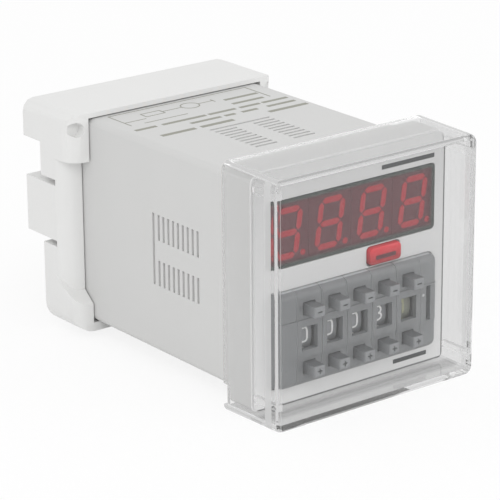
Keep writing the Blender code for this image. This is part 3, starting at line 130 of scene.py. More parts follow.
# %% Node group: smooth shading by angle
FOLD_ANGLE = math.radians(35)
smooth_tree = bpy.data.node_groups.new("smooth_by_angle", "GeometryNodeTree")
smooth_tree.interface.new_socket(name="Mesh", in_out="INPUT", socket_type="NodeSocketGeometry")
smooth_tree.interface.new_socket(name="Mesh", in_out="OUTPUT", socket_type="NodeSocketGeometry")
mesh_in = smooth_tree.nodes.new("NodeGroupInput")
mesh_out = smooth_tree.nodes.new("NodeGroupOutput")
all_smooth = smooth_tree.nodes.new("GeometryNodeSetShadeSmooth")
all_smooth.domain = "FACE"
folds = smooth_tree.nodes.new("GeometryNodeSetShadeSmooth")
folds.domain = "EDGE"
folds.inputs["Shade Smooth"].default_value = False
fold_angle = smooth_tree.nodes.new("GeometryNodeInputMeshEdgeAngle")
steep = smooth_tree.nodes.new("FunctionNodeCompare")
steep.operation = "GREATER_THAN"
steep.inputs["B"].default_value = FOLD_ANGLE
smooth_tree.links.new(mesh_in.outputs[0], all_smooth.inputs["Geometry"])
smooth_tree.links.new(all_smooth.outputs[0], folds.inputs["Geometry"])
smooth_tree.links.new(fold_angle.outputs["Unsigned Angle"], steep.inputs["A"])
smooth_tree.links.new(steep.outputs["Result"], folds.inputs["Selection"])
smooth_tree.links.new(folds.outputs[0], mesh_out.inputs[0])


def smooth_part(item):
    """Join the loose triangles, shade smoothly below the fold angle, and weigh the normals by face size."""
    join = item.modifiers.new("join", "WELD")
    join.merge_threshold = 0.000002
    shade = item.modifiers.new("smooth", "NODES")
    shade.node_group = smooth_tree
    weigh = item.modifiers.new("weigh", "WEIGHTED_NORMAL")
    weigh.keep_sharp = True


for item in nodes.values():
    smooth_part(item)
print("smoothed", len(nodes), "parts")

# %% [markdown]
# A colour picked from a screen is written for the eye, while the renderer adds light. This helper turns a
# screen colour into the renderer's amounts of red, green and blue.

# %% Screen colour to light
def colour(text):
    """Each channel v becomes ((v + 0.055) / 1.055) to the power 2.4, or v / 12.92 if it is dark."""
    channels = [int(text[i:i + 2], 16) / 255 for i in (0, 2, 4)]
    light = [v / 12.92 if v < 0.04045 else ((v + 0.055) / 1.055) ** 2.4 for v in channels]
    return (*light, 1.0)


print("the case's grey is", [round(v, 3) for v in colour("CECECD")])

# %% [markdown]
# Materials are trees of nodes. A few small helpers keep the trees short to write: one makes a node with its
# settings, one does one step of arithmetic on sockets or numbers, and the others read a place or a
# direction.

# %% Helpers for node trees
def node(tree, kind, place=(0, 0), **settings):
    """A new node with its settings, such as an operation."""
    made = tree.nodes.new("ShaderNode" + kind)
    made.location = place
    for key, value in settings.items():
        setattr(made, key, value)
    return made


def math_node(tree, operation, *values):
    """One arithmetic step; each value is a socket or a number."""
    step = node(tree, "Math", operation=operation)
    for slot, value in zip(step.inputs, values):
        if isinstance(value, (int, float)):
            slot.default_value = value
        else:
            tree.links.new(value, slot)
    return step.outputs[0]


def place_sockets(tree):
    """The x, y and z of the point being shaded, in the object's own metres."""
    split = node(tree, "SeparateXYZ")
    tree.links.new(node(tree, "TexCoord").outputs["Object"], split.inputs[0])
    return split.outputs["X"], split.outputs["Y"], split.outputs["Z"]


def mix_colours(tree, share, first, second):
    """first * (1 - share) + second * share; each colour is a socket or a screen colour such as CECECD."""
    step = node(tree, "Mix", data_type="RGBA")
    tree.links.new(share, step.inputs["Factor"])
    for slot, value in ((step.inputs[6], first), (step.inputs[7], second)):
        if isinstance(value, str):
            slot.default_value = colour(value)
        else:
            tree.links.new(value, slot)
    return step.outputs[2]


def facing_sockets(tree):
    """The x, y and z of the direction that the face looks in, as the object itself counts them."""
    split = node(tree, "SeparateXYZ")
    tree.links.new(node(tree, "TexCoord").outputs["Normal"], split.inputs[0])
    return split.outputs["X"], split.outputs["Y"], split.outputs["Z"]


def looks_forwards(tree):
    """1 where the face looks along -Y, towards the reader, and 0 elsewhere."""
    return math_node(tree, "LESS_THAN", facing_sockets(tree)[1], -0.9)


def looks_up(tree):
    """1 where the face looks along +Z, and 0 elsewhere."""
    return math_node(tree, "GREATER_THAN", facing_sockets(tree)[2], 0.8)


def between(tree, value, low, high):
    """1 where low < value < high, and 0 elsewhere."""
    return math_node(tree, "MULTIPLY", math_node(tree, "GREATER_THAN", value, low),
                     math_node(tree, "LESS_THAN", value, high))


def distance(tree, aside, above):
    """The square root of aside * aside + above * above."""
    squares = [math_node(tree, "MULTIPLY", side, side) for side in (aside, above)]
    return math_node(tree, "SQRT", math_node(tree, "ADD", *squares))


def from_cell_middle(tree, way, pitch):
    """The signed distance from the middle of the cell, one pitch wide, that the place lies in."""
    share = math_node(tree, "FRACT", math_node(tree, "DIVIDE", way, pitch))
    return math_node(tree, "MULTIPLY", math_node(tree, "SUBTRACT", share, 0.5), pitch)


print("helpers ready")

# %% [markdown]
# Product pictures like this one are lit from all sides, so there is hardly a shadow. An even white world
# does most of it. One large lamp above the left shoulder and one low on the right shape the edges a little.
# Rays that come straight from the camera, or through the clear cap or a gloss, see the world as plain
# white, a strength of 1, while everything else is lit by a little less.

# %% World and lamps
world = bpy.data.worlds.new("studio")
bpy.context.scene.world = world
world.use_nodes = True
sky = world.node_tree
world_back = sky.nodes["Background"]
world_back.inputs["Color"].default_value = (1, 1, 1, 1)
WORLD_LIGHT = 0.84


def sees_background(tree):
    """1 for rays from the camera, in a gloss or through something clear, and 0 for rays that carry light."""
    ray = node(tree, "LightPath")
    seen = math_node(tree, "MAXIMUM", ray.outputs["Is Camera Ray"], ray.outputs["Is Glossy Ray"])
    return math_node(tree, "MAXIMUM", seen, ray.outputs["Is Transmission Ray"])


strength = math_node(sky, "MULTIPLY_ADD", sees_background(sky), 1 - WORLD_LIGHT, WORLD_LIGHT)
sky.links.new(strength, world_back.inputs["Strength"])


def lamp(name, place, aim, width, watts):
    """A square soft lamp at a place, turned so that its face looks at the aim."""
    data = bpy.data.lights.new(name, "AREA")
    data.shape = "SQUARE"
    data.size = width
    data.energy = watts
    item = bpy.data.objects.new(name, data)
    item.location = place
    item.rotation_euler = (Vector(aim) - Vector(place)).to_track_quat("-Z", "Y").to_euler()
    bpy.context.scene.collection.objects.link(item)
    return item


LAMP_AIM = (0, 0, 0.02)
LAMP_WIDTH = 0.5
lamp("key_lamp", (-0.5, -0.55, 0.75), LAMP_AIM, LAMP_WIDTH, watts=2.3)
lamp("fill_lamp", (0.6, -0.6, 0.3), LAMP_AIM, LAMP_WIDTH, watts=0.9)
print("world", WORLD_LIGHT, "and two lamps")

# %% [markdown]
# The floor is white paper. Rays from the camera, and those that meet it through the clear cap or in a
# gloss, see mostly plain white, and the rest of its look is real paper that takes the counter's soft
# shadow.

# %% Floor
def grid_mesh(name, rows):
    """A mesh over an array of points P[i, j]: each square of four neighbours is a face."""
    tall, wide = rows.shape[:2]
    index = np.arange(tall * wide).reshape(tall, wide)
    faces = np.stack([index[:-1, :-1], index[:-1, 1:], index[1:, 1:], index[1:, :-1]], axis=-1).reshape(-1, 4)
    mesh = bpy.data.meshes.new(name)
    mesh.from_pydata(rows.reshape(-1, 3).tolist(), [], faces.tolist())
    mesh.update()
    item = bpy.data.objects.new(name, mesh)
    bpy.context.scene.collection.objects.link(item)
    return item


FLOOR_REACH = 2
FLOOR_DROP = 0.0002
PLAIN_SHARE = 0.85
steps = np.linspace(-FLOOR_REACH, FLOOR_REACH, 9)
across, along = np.meshgrid(steps, steps)
floor = grid_mesh("floor", np.stack([across, along, np.full_like(across, -FLOOR_DROP)], axis=-1))
paper = bpy.data.materials.new("white_paper")
paper.use_nodes = True
sheet = paper.node_tree
paper_surface = sheet.nodes["Principled BSDF"]
paper_surface.inputs["Base Color"].default_value = (0.95, 0.95, 0.95, 1)
paper_surface.inputs["Roughness"].default_value = 0.9
plain = node(sheet, "Emission")
blend = node(sheet, "MixShader")
sheet.links.new(math_node(sheet, "MULTIPLY", sees_background(sheet), PLAIN_SHARE), blend.inputs["Fac"])
sheet.links.new(paper_surface.outputs[0], blend.inputs[1])
sheet.links.new(plain.outputs[0], blend.inputs[2])
sheet.links.new(blend.outputs[0], sheet.nodes["Material Output"].inputs["Surface"])
floor.data.materials.append(paper)
print("floor", [round(v, 2) for v in floor.dimensions])

# %% [markdown]
# Moulded plastic looks alive through small things: a fine grain left by the mould, and a colour and gloss
# that drift a little over a hand's width. One node group holds that recipe, so every plastic here uses the
# same one with its own grain size and strength. The group gives a colour, a roughness and a normal, never a
# shader.

# %% Node group: moulded grain
def group_socket(tree, name, kind, way, value=None):
    """A named input or output of a node group, with its starting value."""
    socket = tree.interface.new_socket(name=name, in_out=way, socket_type=kind)
    if value is not None:
        socket.default_value = value
    return socket


grain = bpy.data.node_groups.new("moulded_grain", "ShaderNodeTree")
group_socket(grain, "Colour", "NodeSocketColor", "INPUT", (0.5, 0.5, 0.5, 1))
group_socket(grain, "Grains per metre", "NodeSocketFloat", "INPUT", 2500.0)
group_socket(grain, "Drift", "NodeSocketFloat", "INPUT", 0.03)
group_socket(grain, "Roughness", "NodeSocketFloat", "INPUT", 0.5)
group_socket(grain, "Grain height", "NodeSocketFloat", "INPUT", 0.1)
group_socket(grain, "Colour", "NodeSocketColor", "OUTPUT")
group_socket(grain, "Roughness", "NodeSocketFloat", "OUTPUT")
group_socket(grain, "Normal", "NodeSocketVector", "OUTPUT")
inside = node(grain, "TexCoord").outputs["Object"]
given = grain.nodes.new("NodeGroupInput")
result = grain.nodes.new("NodeGroupOutput")
fine = node(grain, "TexNoise")
fine.inputs["Detail"].default_value = 2
grain.links.new(inside, fine.inputs["Vector"])
grain.links.new(given.outputs["Grains per metre"], fine.inputs["Scale"])
slow = node(grain, "TexNoise")
slow.inputs["Scale"].default_value = 60
slow.inputs["Detail"].default_value = 3
grain.links.new(inside, slow.inputs["Vector"])
from_mean = math_node(grain, "SUBTRACT", slow.outputs[0], 0.5)
swing = math_node(grain, "MULTIPLY", from_mean, given.outputs["Drift"])
bright = node(grain, "HueSaturation")
grain.links.new(given.outputs["Colour"], bright.inputs["Color"])
grain.links.new(math_node(grain, "ADD", swing, 1.0), bright.inputs["Value"])
grain.links.new(bright.outputs[0], result.inputs["Colour"])
rough = math_node(grain, "MULTIPLY", math_node(grain, "SUBTRACT", fine.outputs[0], 0.5), 0.12)
rough = math_node(grain, "ADD", rough, math_node(grain, "MULTIPLY", swing, 1.5))
grain.links.new(math_node(grain, "ADD", rough, given.outputs["Roughness"]), result.inputs["Roughness"])
bump = node(grain, "Bump")
bump.inputs["Distance"].default_value = 0.00003
grain.links.new(given.outputs["Grain height"], bump.inputs["Strength"])
grain.links.new(fine.outputs[0], bump.inputs["Height"])
grain.links.new(bump.outputs[0], result.inputs["Normal"])
print("group", grain.name, "has", len(grain.nodes), "nodes")

# %% Plastic from the group
def plastic(name, screen_colour, roughness, grains=2500, grain_height=0.15, drift=0.04):
    """A Principled material whose colour, roughness and normal come from the grain group. Where the colour
    isn't one all over, screen_colour is None, and a mix is linked to the group's Colour afterwards."""
    material = bpy.data.materials.new(name)
    material.use_nodes = True
    tree = material.node_tree
    use = node(tree, "Group", (-300, 0), node_tree=grain)
    if screen_colour:
        use.inputs["Colour"].default_value = colour(screen_colour)
    use.inputs["Grains per metre"].default_value = grains
    use.inputs["Drift"].default_value = drift
    use.inputs["Roughness"].default_value = roughness
    use.inputs["Grain height"].default_value = grain_height
    surface = tree.nodes["Principled BSDF"]
    tree.links.new(use.outputs["Colour"], surface.inputs["Base Color"])
    tree.links.new(use.outputs["Roughness"], surface.inputs["Roughness"])
    tree.links.new(use.outputs["Normal"], surface.inputs["Normal"])
    return material, tree, surface, use


def wear(material, *names):
    """The named parts take this material in place of the one they came with."""
    for name in names:
        data = nodes[name].data
        data.materials.clear()
        data.materials.append(material)
    print(material.name, "on", len(names), "part(s)")


# %% [markdown]
# The case and its flange are one light grey moulding with a satin surface, and the bracket that slides
# along it is a whiter one with a little more shine. The rim of the flange lies in the narrow slit behind
# the face plate, and it is painted paler there: painted light, so that the slit doesn't turn black in
# its shade.

# %% Case and bracket
case_grey, tree, surface, use = plastic("case_grey", "CECECD", 0.42)
_, depth, _ = place_sockets(tree)
# Painted light: the flange's rim, in the shade of the slit, is painted almost white.
on_rim = math_node(tree, "LESS_THAN", depth, FLANGE_FRONT + HAIR)
tree.links.new(mix_colours(tree, on_rim, use.outputs["Colour"], "F4F4F4"), surface.inputs["Base Color"])
wear(case_grey, "case")
frame_grey, _, _, _ = plastic("frame_grey", "C6C6C6", 0.5)
wear(frame_grey, "front_frame")
bracket_white, _, _, _ = plastic("bracket_white", "E3E3E2", 0.42)
wear(bracket_white, "mounting_bracket")

# %% [markdown]
# The face plate is a printed film with a faint metallic shimmer: tiny bright flakes under a satin coat. A
# noise with a very small grain pushes the roughness up and down, and the film is painted a little lighter
# towards its bottom: painted light where less light reaches it. A thin dark line of painted shade, the
# shade of the narrow gap at the plate's edge, runs at the right and along the bottom: there the larger of
# the two distances from the middle is nearly full, and the face looks forwards.

# %% Face plate
FILM_FADE = 22.0
EDGE_SHADE_WIDTH = 0.00035
film, tree, surface, use = plastic("silver_film", None, 0.38, grains=6000, grain_height=0.05)
across, _, height = place_sockets(tree)
above = math_node(tree, "SUBTRACT", height, MIDDLE_Z)
rise = math_node(tree, "MULTIPLY_ADD", above, FILM_FADE, 0.5)
# Painted light: lighter towards the bottom, darker towards the top.
tree.links.new(mix_colours(tree, rise, "E1E1E1", "C6C6C6"), use.inputs["Colour"])
# Painted shade: a thin dark line along the right and bottom edges.
reach = math_node(tree, "MAXIMUM", across, math_node(tree, "MULTIPLY", above, -1.0))
in_edge_shade = math_node(tree, "MULTIPLY", math_node(tree, "GREATER_THAN", reach, plate_high.x - EDGE_SHADE_WIDTH),
                    looks_forwards(tree))
tree.links.new(mix_colours(tree, in_edge_shade, use.outputs["Colour"], "707070"), surface.inputs["Base Color"])
surface.inputs["Coat Weight"].default_value = 0.15
surface.inputs["Coat Roughness"].default_value = 0.25
wear(film, "face_plate")

# %% [markdown]
# The number switch is mid grey, painted darker towards its left end and lighter towards its right: painted
# shade and painted light. Its right end carries a small white index dot, which is a mask on the distance
# from one point. The seams between the decades are wider here than the real ones, which would make them
# black, so the walls inside them are painted paler, painted light against that shade: a place's share of
# the pitch tells how far the next seam is. The switch's flat top, which stands in the slit under the plate's
# edge, is painted paler for the same reason. The buttons are painted darker on top and towards their root:
# painted shade. Their marks are sunk, and their bottoms are coloured dark: the mask asks for a face that
# looks forwards and lies just behind the front.

# %% Number switch
SWITCH_FADE = 12.0
SEAM_REACH = 0.00016
DOT_X = 0.0167
DOT_DROP = 0.0081
DOT_RADIUS = 0.0003
switch_grey, tree, surface, use = plastic("switch_grey", None, 0.40)
across, _, height = place_sockets(tree)
pivots = {joint["name"]: Vector(joint["pos_m"]) for joint in frame["joints"]
          if joint["name"].endswith("_turn")}
DECADE_PITCH = pivots["wheel_2_turn"].x - pivots["wheel_1_turn"].x
# Painted shade and light: darker at the left end, lighter at the right.
along = math_node(tree, "MULTIPLY_ADD", across, SWITCH_FADE, 0.5)
tree.links.new(mix_colours(tree, along, "737577", "868889"), use.inputs["Colour"])
from_seam = math_node(tree, "ABSOLUTE", from_cell_middle(tree, across, DECADE_PITCH))
sideways = math_node(tree, "GREATER_THAN", math_node(tree, "ABSOLUTE", facing_sockets(tree)[0]), 0.7)
in_seam = math_node(tree, "MULTIPLY", sideways, math_node(tree, "LESS_THAN", from_seam, SEAM_REACH))
switch_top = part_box("decade_housing_1")[1].z
at_switch_top = math_node(tree, "GREATER_THAN", height, switch_top - HAIR)
on_top = math_node(tree, "MULTIPLY", looks_up(tree), at_switch_top)
in_slit = math_node(tree, "MAXIMUM", in_seam, on_top)
# Painted light: the seam walls and the top in the slit are painted paler against their shade.
walls = mix_colours(tree, in_slit, use.outputs["Colour"], "B4B6B8")
aside = math_node(tree, "SUBTRACT", across, DOT_X)
above = math_node(tree, "SUBTRACT", height, MIDDLE_Z - DOT_DROP)
in_dot = math_node(tree, "LESS_THAN", distance(tree, aside, above), DOT_RADIUS)
tree.links.new(mix_colours(tree, in_dot, walls, "BEC0C2"), surface.inputs["Base Color"])
wear(switch_grey, "left_end_cap", "right_end_cap", *["decade_housing_%d" % n for n in range(1, 6)])
# The wheels are painted a lighter grey than the housing: painted light against the shade of their recess.
wheel_grey, _, _, _ = plastic("wheel_grey", "8C8E90", 0.45)
wear(wheel_grey, *["number_wheel_%d" % n for n in range(1, 5)])
wheel_olive, _, _, _ = plastic("wheel_olive", "8A8C80", 0.45)
wear(wheel_olive, "number_wheel_5")
MARK_FRONT = 0.00012
MARK_BACK = 0.0003
button_grey, tree, surface, use = plastic("button_grey", None, 0.40)
_, depth, _ = place_sockets(tree)
button_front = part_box("minus_button_1")[0].y
BUTTON_STANDS_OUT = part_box("decade_housing_1")[0].y - button_front
# Painted shade: the buttons darken from the tip towards the root, and their tops are darker.
root = math_node(tree, "DIVIDE", math_node(tree, "SUBTRACT", depth, button_front), BUTTON_STANDS_OUT)
root.node.use_clamp = True
body = mix_colours(tree, root, "8A8C8E", "5E6062")
tree.links.new(mix_colours(tree, looks_up(tree), body, "646668"), use.inputs["Colour"])
in_mark = between(tree, depth, button_front + MARK_FRONT, button_front + MARK_BACK)
sunk = math_node(tree, "MULTIPLY", in_mark, looks_forwards(tree))
tree.links.new(mix_colours(tree, sunk, use.outputs["Colour"], "3C3E40"), surface.inputs["Base Color"])
wear(button_grey, *["%s_button_%d" % (word, n) for n in range(1, 6) for word in ("plus", "minus")])

# %% [markdown]
# The reset button is glossy red plastic, painted lighter towards its upper edge: a painted highlight where
# the light falls on it.

# %% Reset button
RESET_FADE = 270.0
reset_red, tree, surface, use = plastic("reset_red", None, 0.22, grain_height=0.04)
reset_low, reset_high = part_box("reset_button")
_, _, height = place_sockets(tree)
# Painted highlight: the red lightens upwards from the button's bottom.
upper = math_node(tree, "MULTIPLY", math_node(tree, "SUBTRACT", height, reset_low.z), RESET_FADE)
tree.links.new(mix_colours(tree, upper, "960C18", "DE2434"), use.inputs["Colour"])
surface.inputs["Coat Weight"].default_value = 0.15
wear(reset_red, "reset_button")

# %% [markdown]
# Behind the smoked window the digits are dark reddish bodies whose raised segments are a paler red. The
# mask is the depth: the segments' faces stand a little in front of the body. A weak glow, stronger on the
# segments, is painted light: it stands in for the lamp light that the dark window keeps from them, so that
# they stay visible behind it.

# %% Digits
SEGMENT_SKIN = 0.00008
digit_face, tree, surface, use = plastic("digit_face", "683E42", 0.5)
segment_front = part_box("digit_1")[0].y
_, depth, _ = place_sockets(tree)
lit = math_node(tree, "LESS_THAN", depth, segment_front + SEGMENT_SKIN)
tree.links.new(mix_colours(tree, lit, use.outputs["Colour"], "CC222E"), surface.inputs["Base Color"])
# Painted light: the digits glow weakly, and the segments more.
glow = node(tree, "Mix", data_type="RGBA")
tree.links.new(lit, glow.inputs["Factor"])
glow.inputs[6].default_value = (0.02, 0.0, 0.0, 1)
glow.inputs[7].default_value = (0.72, 0.005, 0.02, 1)
tree.links.new(glow.outputs[2], surface.inputs["Emission Color"])
surface.inputs["Emission Strength"].default_value = 1.0
wear(digit_face, "digit_1", "digit_2", "digit_3", "digit_4")

# %% [markdown]
# The window is a smoked sheet that lets half the light through. Its border is printed darker, which hides
# the edges of the digits behind it: the share of the border is a smooth step over the distance to the
# nearest edge.

# %% Smoked window
BORDER_DARK = 0.0004
BORDER_END = 0.0012
smoke, tree, surface, use = plastic("smoked_window", None, 0.12, grain_height=0.02)
window_low, window_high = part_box("display_window")
across, _, height = place_sockets(tree)
middle_x = (window_low.x + window_high.x) / 2
middle_z = (window_low.z + window_high.z) / 2
from_side = math_node(tree, "SUBTRACT", (window_high.x - window_low.x) / 2,
                      math_node(tree, "ABSOLUTE", math_node(tree, "SUBTRACT", across, middle_x)))
from_top = math_node(tree, "SUBTRACT", (window_high.z - window_low.z) / 2,
                     math_node(tree, "ABSOLUTE", math_node(tree, "SUBTRACT", height, middle_z)))
nearest = math_node(tree, "MINIMUM", from_side, from_top)
border = node(tree, "MapRange", interpolation_type="SMOOTHSTEP")
tree.links.new(nearest, border.inputs["Value"])
border.inputs["From Min"].default_value = BORDER_DARK
border.inputs["From Max"].default_value = BORDER_END
tree.links.new(mix_colours(tree, border.outputs[0], "444C48", "70464C"), use.inputs["Colour"])
opaque = node(tree, "MapRange")
tree.links.new(border.outputs[0], opaque.inputs["Value"])
opaque.inputs["To Min"].default_value = 0.85
opaque.inputs["To Max"].default_value = 0.45
tree.links.new(opaque.outputs[0], surface.inputs["Alpha"])
wear(smoke, "display_window")

# %% [markdown]
# The clear cap is thick, so it bends what lies behind it and catches light in its rounded edges. A
# transmitting Principled surface does both. Light that has bounced inside the wall many times would end up
# black in a renderer with few bounces, while a real wall looks a soft grey there, so late bounces see a
# pale grey glow instead: painted light for the lost bounces. Shadow and diffuse rays pass straight
# through, so that the front stays evenly lit.
#
# The cap's walls carry painted shade. The top wall is painted a little darker than the front, and the
# bottom wall darker still, most of all in one band across it. The edge above the front is a painted dark
# line. Where the side walls meet the thick front, a grey diffuse band runs down, painted shade for the light
# that the thick corner bends away, more strongly on the left, and a hair-thin pale line, a painted
# highlight, marks the inner corner on the front. Each is a mask on the place of the point: |x| and the
# height for the wall, and the distance behind the front for the band.

# %% Clear cover
WALL_BOTTOM = -0.0242
WALL_TOP = 0.0243
WALL_SIDE = 0.0250
BOTTOM_BAND = (0.0045, 0.0080)
TOP_EDGE_HEIGHT = 0.0007
TOP_EDGE_DEPTH = 0.0005
PAINTED_GREY_BAND = (0.0014, 0.0034)
LEFT_GREY_SHARE = 0.85
RIGHT_GREY_SHARE = 0.2
PALE_LINE = (0.0243, 0.0245)
PALE_LINE_DEPTH = 0.0003
PALE_LINE_SHARE = 0.4
CLEAR_BOUNCES = 4.5
clear = bpy.data.materials.new("clear_cover")
clear.use_nodes = True
tree = clear.node_tree
surface = tree.nodes["Principled BSDF"]
across, depth, height = place_sockets(tree)
aside = math_node(tree, "ABSOLUTE", across)
above = math_node(tree, "SUBTRACT", height, MIDDLE_Z)
behind = math_node(tree, "SUBTRACT", depth, COVER_FRONT)
in_bottom = math_node(tree, "LESS_THAN", above, WALL_BOTTOM)
in_band = math_node(tree, "MULTIPLY", in_bottom, between(tree, behind, *BOTTOM_BAND))
at_top = math_node(tree, "GREATER_THAN", above, cover_high.z - MIDDLE_Z - TOP_EDGE_HEIGHT)
in_top_edge = math_node(tree, "MULTIPLY", at_top, math_node(tree, "LESS_THAN", behind, TOP_EDGE_DEPTH))
in_top = math_node(tree, "GREATER_THAN", above, WALL_TOP)
# Painted shade: darker tints on the top wall, the bottom wall, its band and the top front edge.
tint = mix_colours(tree, in_bottom, mix_colours(tree, in_top, "EEEEEE", "E2E2E2"), "D4D4D4")
tint = mix_colours(tree, in_band, tint, "B4B4B4")
tree.links.new(mix_colours(tree, in_top_edge, tint, "A8A8A8"), surface.inputs["Base Color"])
surface.inputs["Roughness"].default_value = 0.02
surface.inputs["IOR"].default_value = 1.45
surface.inputs["Transmission Weight"].default_value = 1.0
# Painted shade: a grey diffuse surface mixed in, for the band and, as a painted highlight, the pale line.
painted_grey_diffuse = node(tree, "BsdfDiffuse")
painted_grey_diffuse.inputs["Color"].default_value = (0.62, 0.62, 0.62, 1)
side_band = math_node(tree, "MULTIPLY", between(tree, behind, *PAINTED_GREY_BAND),
                      math_node(tree, "GREATER_THAN", aside, WALL_SIDE))
pale_line = math_node(tree, "MULTIPLY", between(tree, aside, *PALE_LINE),
                      math_node(tree, "LESS_THAN", behind, PALE_LINE_DEPTH))
on_left = math_node(tree, "LESS_THAN", across, 0.0)
band_share = math_node(tree, "MULTIPLY_ADD", on_left, LEFT_GREY_SHARE - RIGHT_GREY_SHARE, RIGHT_GREY_SHARE)
painted_grey_share = math_node(tree, "MAXIMUM", math_node(tree, "MULTIPLY", side_band, band_share),
                  math_node(tree, "MULTIPLY", pale_line, PALE_LINE_SHARE))
# moulded is the clear surface with the painted grey band and pale line mixed in.
moulded = node(tree, "MixShader")
tree.links.new(painted_grey_share, moulded.inputs["Fac"])
tree.links.new(surface.outputs[0], moulded.inputs[1])
tree.links.new(painted_grey_diffuse.outputs[0], moulded.inputs[2])
ray = node(tree, "LightPath")
# Painted light: late bounces glow a pale grey.
painted_bounce_glow = node(tree, "Emission")
painted_bounce_glow.inputs["Color"].default_value = (0.68, 0.68, 0.68, 1)
late = node(tree, "MixShader")
is_late = math_node(tree, "GREATER_THAN", ray.outputs["Ray Depth"], CLEAR_BOUNCES)
tree.links.new(is_late, late.inputs["Fac"])
tree.links.new(moulded.outputs[0], late.inputs[1])
tree.links.new(painted_bounce_glow.outputs[0], late.inputs[2])
through = node(tree, "MixShader")
tree.links.new(math_node(tree, "MAXIMUM", ray.outputs["Is Shadow Ray"], ray.outputs["Is Diffuse Ray"]),
               through.inputs["Fac"])
tree.links.new(late.outputs[0], through.inputs[1])
tree.links.new(node(tree, "BsdfTransparent").outputs[0], through.inputs[2])
tree.links.new(through.outputs[0], tree.nodes["Material Output"].inputs["Surface"])
wear(clear, "clear_cover")

# %% [markdown]
# The boards are green lacquer over copper. Copper tracks show through the lacquer as a lighter green: the
# tracks here are the mortar lines of a brick pattern, with a row of round pads on a 2.54 mm grid.

# %% Boards
laminate, tree, surface, use = plastic("green_laminate", "1F5A34", 0.32, grains=5000, grain_height=0.05)
across, depth, height = place_sockets(tree)
flat_place = node(tree, "CombineXYZ")
tree.links.new(depth, flat_place.inputs[0])
tree.links.new(height, flat_place.inputs[1])
tracks = node(tree, "TexBrick", offset=0.37, squash=1.6, squash_frequency=3)
tracks.inputs["Scale"].default_value = 1.0
tracks.inputs["Mortar Size"].default_value = 0.00016
tracks.inputs["Mortar Smooth"].default_value = 0.1
tracks.inputs["Brick Width"].default_value = 0.0096
tracks.inputs["Row Height"].default_value = 0.0019
tree.links.new(flat_place.outputs[0], tracks.inputs["Vector"])
PAD_PITCH = 0.00254
PAD_RADIUS = 0.00055
from_pad = distance(tree, *[from_cell_middle(tree, way, PAD_PITCH) for way in (depth, height)])
pad = math_node(tree, "LESS_THAN", from_pad, PAD_RADIUS)
laid = mix_colours(tree, tracks.outputs["Fac"], use.outputs["Colour"], "2F7A48")
tree.links.new(mix_colours(tree, pad, laid, "A8A89C"), surface.inputs["Base Color"])
surface.inputs["Coat Weight"].default_value = 0.4
wear(laminate, "display_board", "number_switch_board", "power_board", "logic_board")

# %% [markdown]
# The transformer's core is a stack of thin steel sheets, so fine lines run round it: a sine of the place
# along the stack, used as a bump. The coil beside it is wound under yellow tape, whose turns are wider
# lines of the same kind.

# %% Transformer
def lined_metal(name, screen_colour, roughness, lines_per_metre, depth_of_lines, metallic):
    """Plastic's recipe plus lines across x: the height of a bump is 0.5 + 0.5 sin(2 pi lines x)."""
    material, tree, surface, use = plastic(name, screen_colour, roughness)
    across, _, _ = place_sockets(tree)
    wave = math_node(tree, "SINE", math_node(tree, "MULTIPLY", across, math.tau * lines_per_metre))
    wave = math_node(tree, "MULTIPLY_ADD", wave, 0.5, 0.5)
    relief = node(tree, "Bump")
    relief.inputs["Distance"].default_value = depth_of_lines
    relief.inputs["Strength"].default_value = 0.6
    tree.links.new(wave, relief.inputs["Height"])
    tree.links.new(use.outputs["Normal"], relief.inputs["Normal"])
    tree.links.new(relief.outputs[0], surface.inputs["Normal"])
    surface.inputs["Metallic"].default_value = metallic
    return material


core_steel = lined_metal("core_steel", "8C8C8E", 0.4, 2000, 0.0001, 1.0)
wear(core_steel, "transformer_core")
tape = lined_metal("yellow_tape", "C9A43A", 0.3, 400, 0.0001, 0.0)
wear(tape, "transformer_coil")

# %% [markdown]
# The relay is a sealed blue box, the capacitor a can in a dark shrunk sleeve. The sleeve has a pale stripe
# that marks one of its wires, and the can's bare end shows as aluminium.

# %% Relay and capacitor
relay_blue, _, relay_surface, _ = plastic("relay_blue", "1E3C78", 0.3, grains=1800)
relay_surface.inputs["Coat Weight"].default_value = 0.2
wear(relay_blue, "relay")
STRIPE_HALF = 0.0012
sleeve, tree, surface, use = plastic("black_sleeve", "1C1C20", 0.28, grain_height=0.05)
can_low, can_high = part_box("capacitor")
across, depth, height = place_sockets(tree)
aside = math_node(tree, "ABSOLUTE", math_node(tree, "SUBTRACT", height, (can_low.z + can_high.z) / 2))
stripe = math_node(tree, "MULTIPLY", math_node(tree, "LESS_THAN", aside, STRIPE_HALF),
                   math_node(tree, "LESS_THAN", depth, (can_low.y + can_high.y) / 2))
striped = mix_colours(tree, stripe, use.outputs["Colour"], "A0A0A4")
bare = math_node(tree, "LESS_THAN", across, can_low.x + HAIR)
tree.links.new(mix_colours(tree, bare, striped, "B8B8BA"), surface.inputs["Base Color"])
wear(sleeve, "capacitor")

# %% [markdown]
# The plug is black phenolic: hard, a little mottled, with a dull sheen. Its pins are plated brass, rubbed
# along their length by the socket. The rods through the number switch are plain drawn steel.

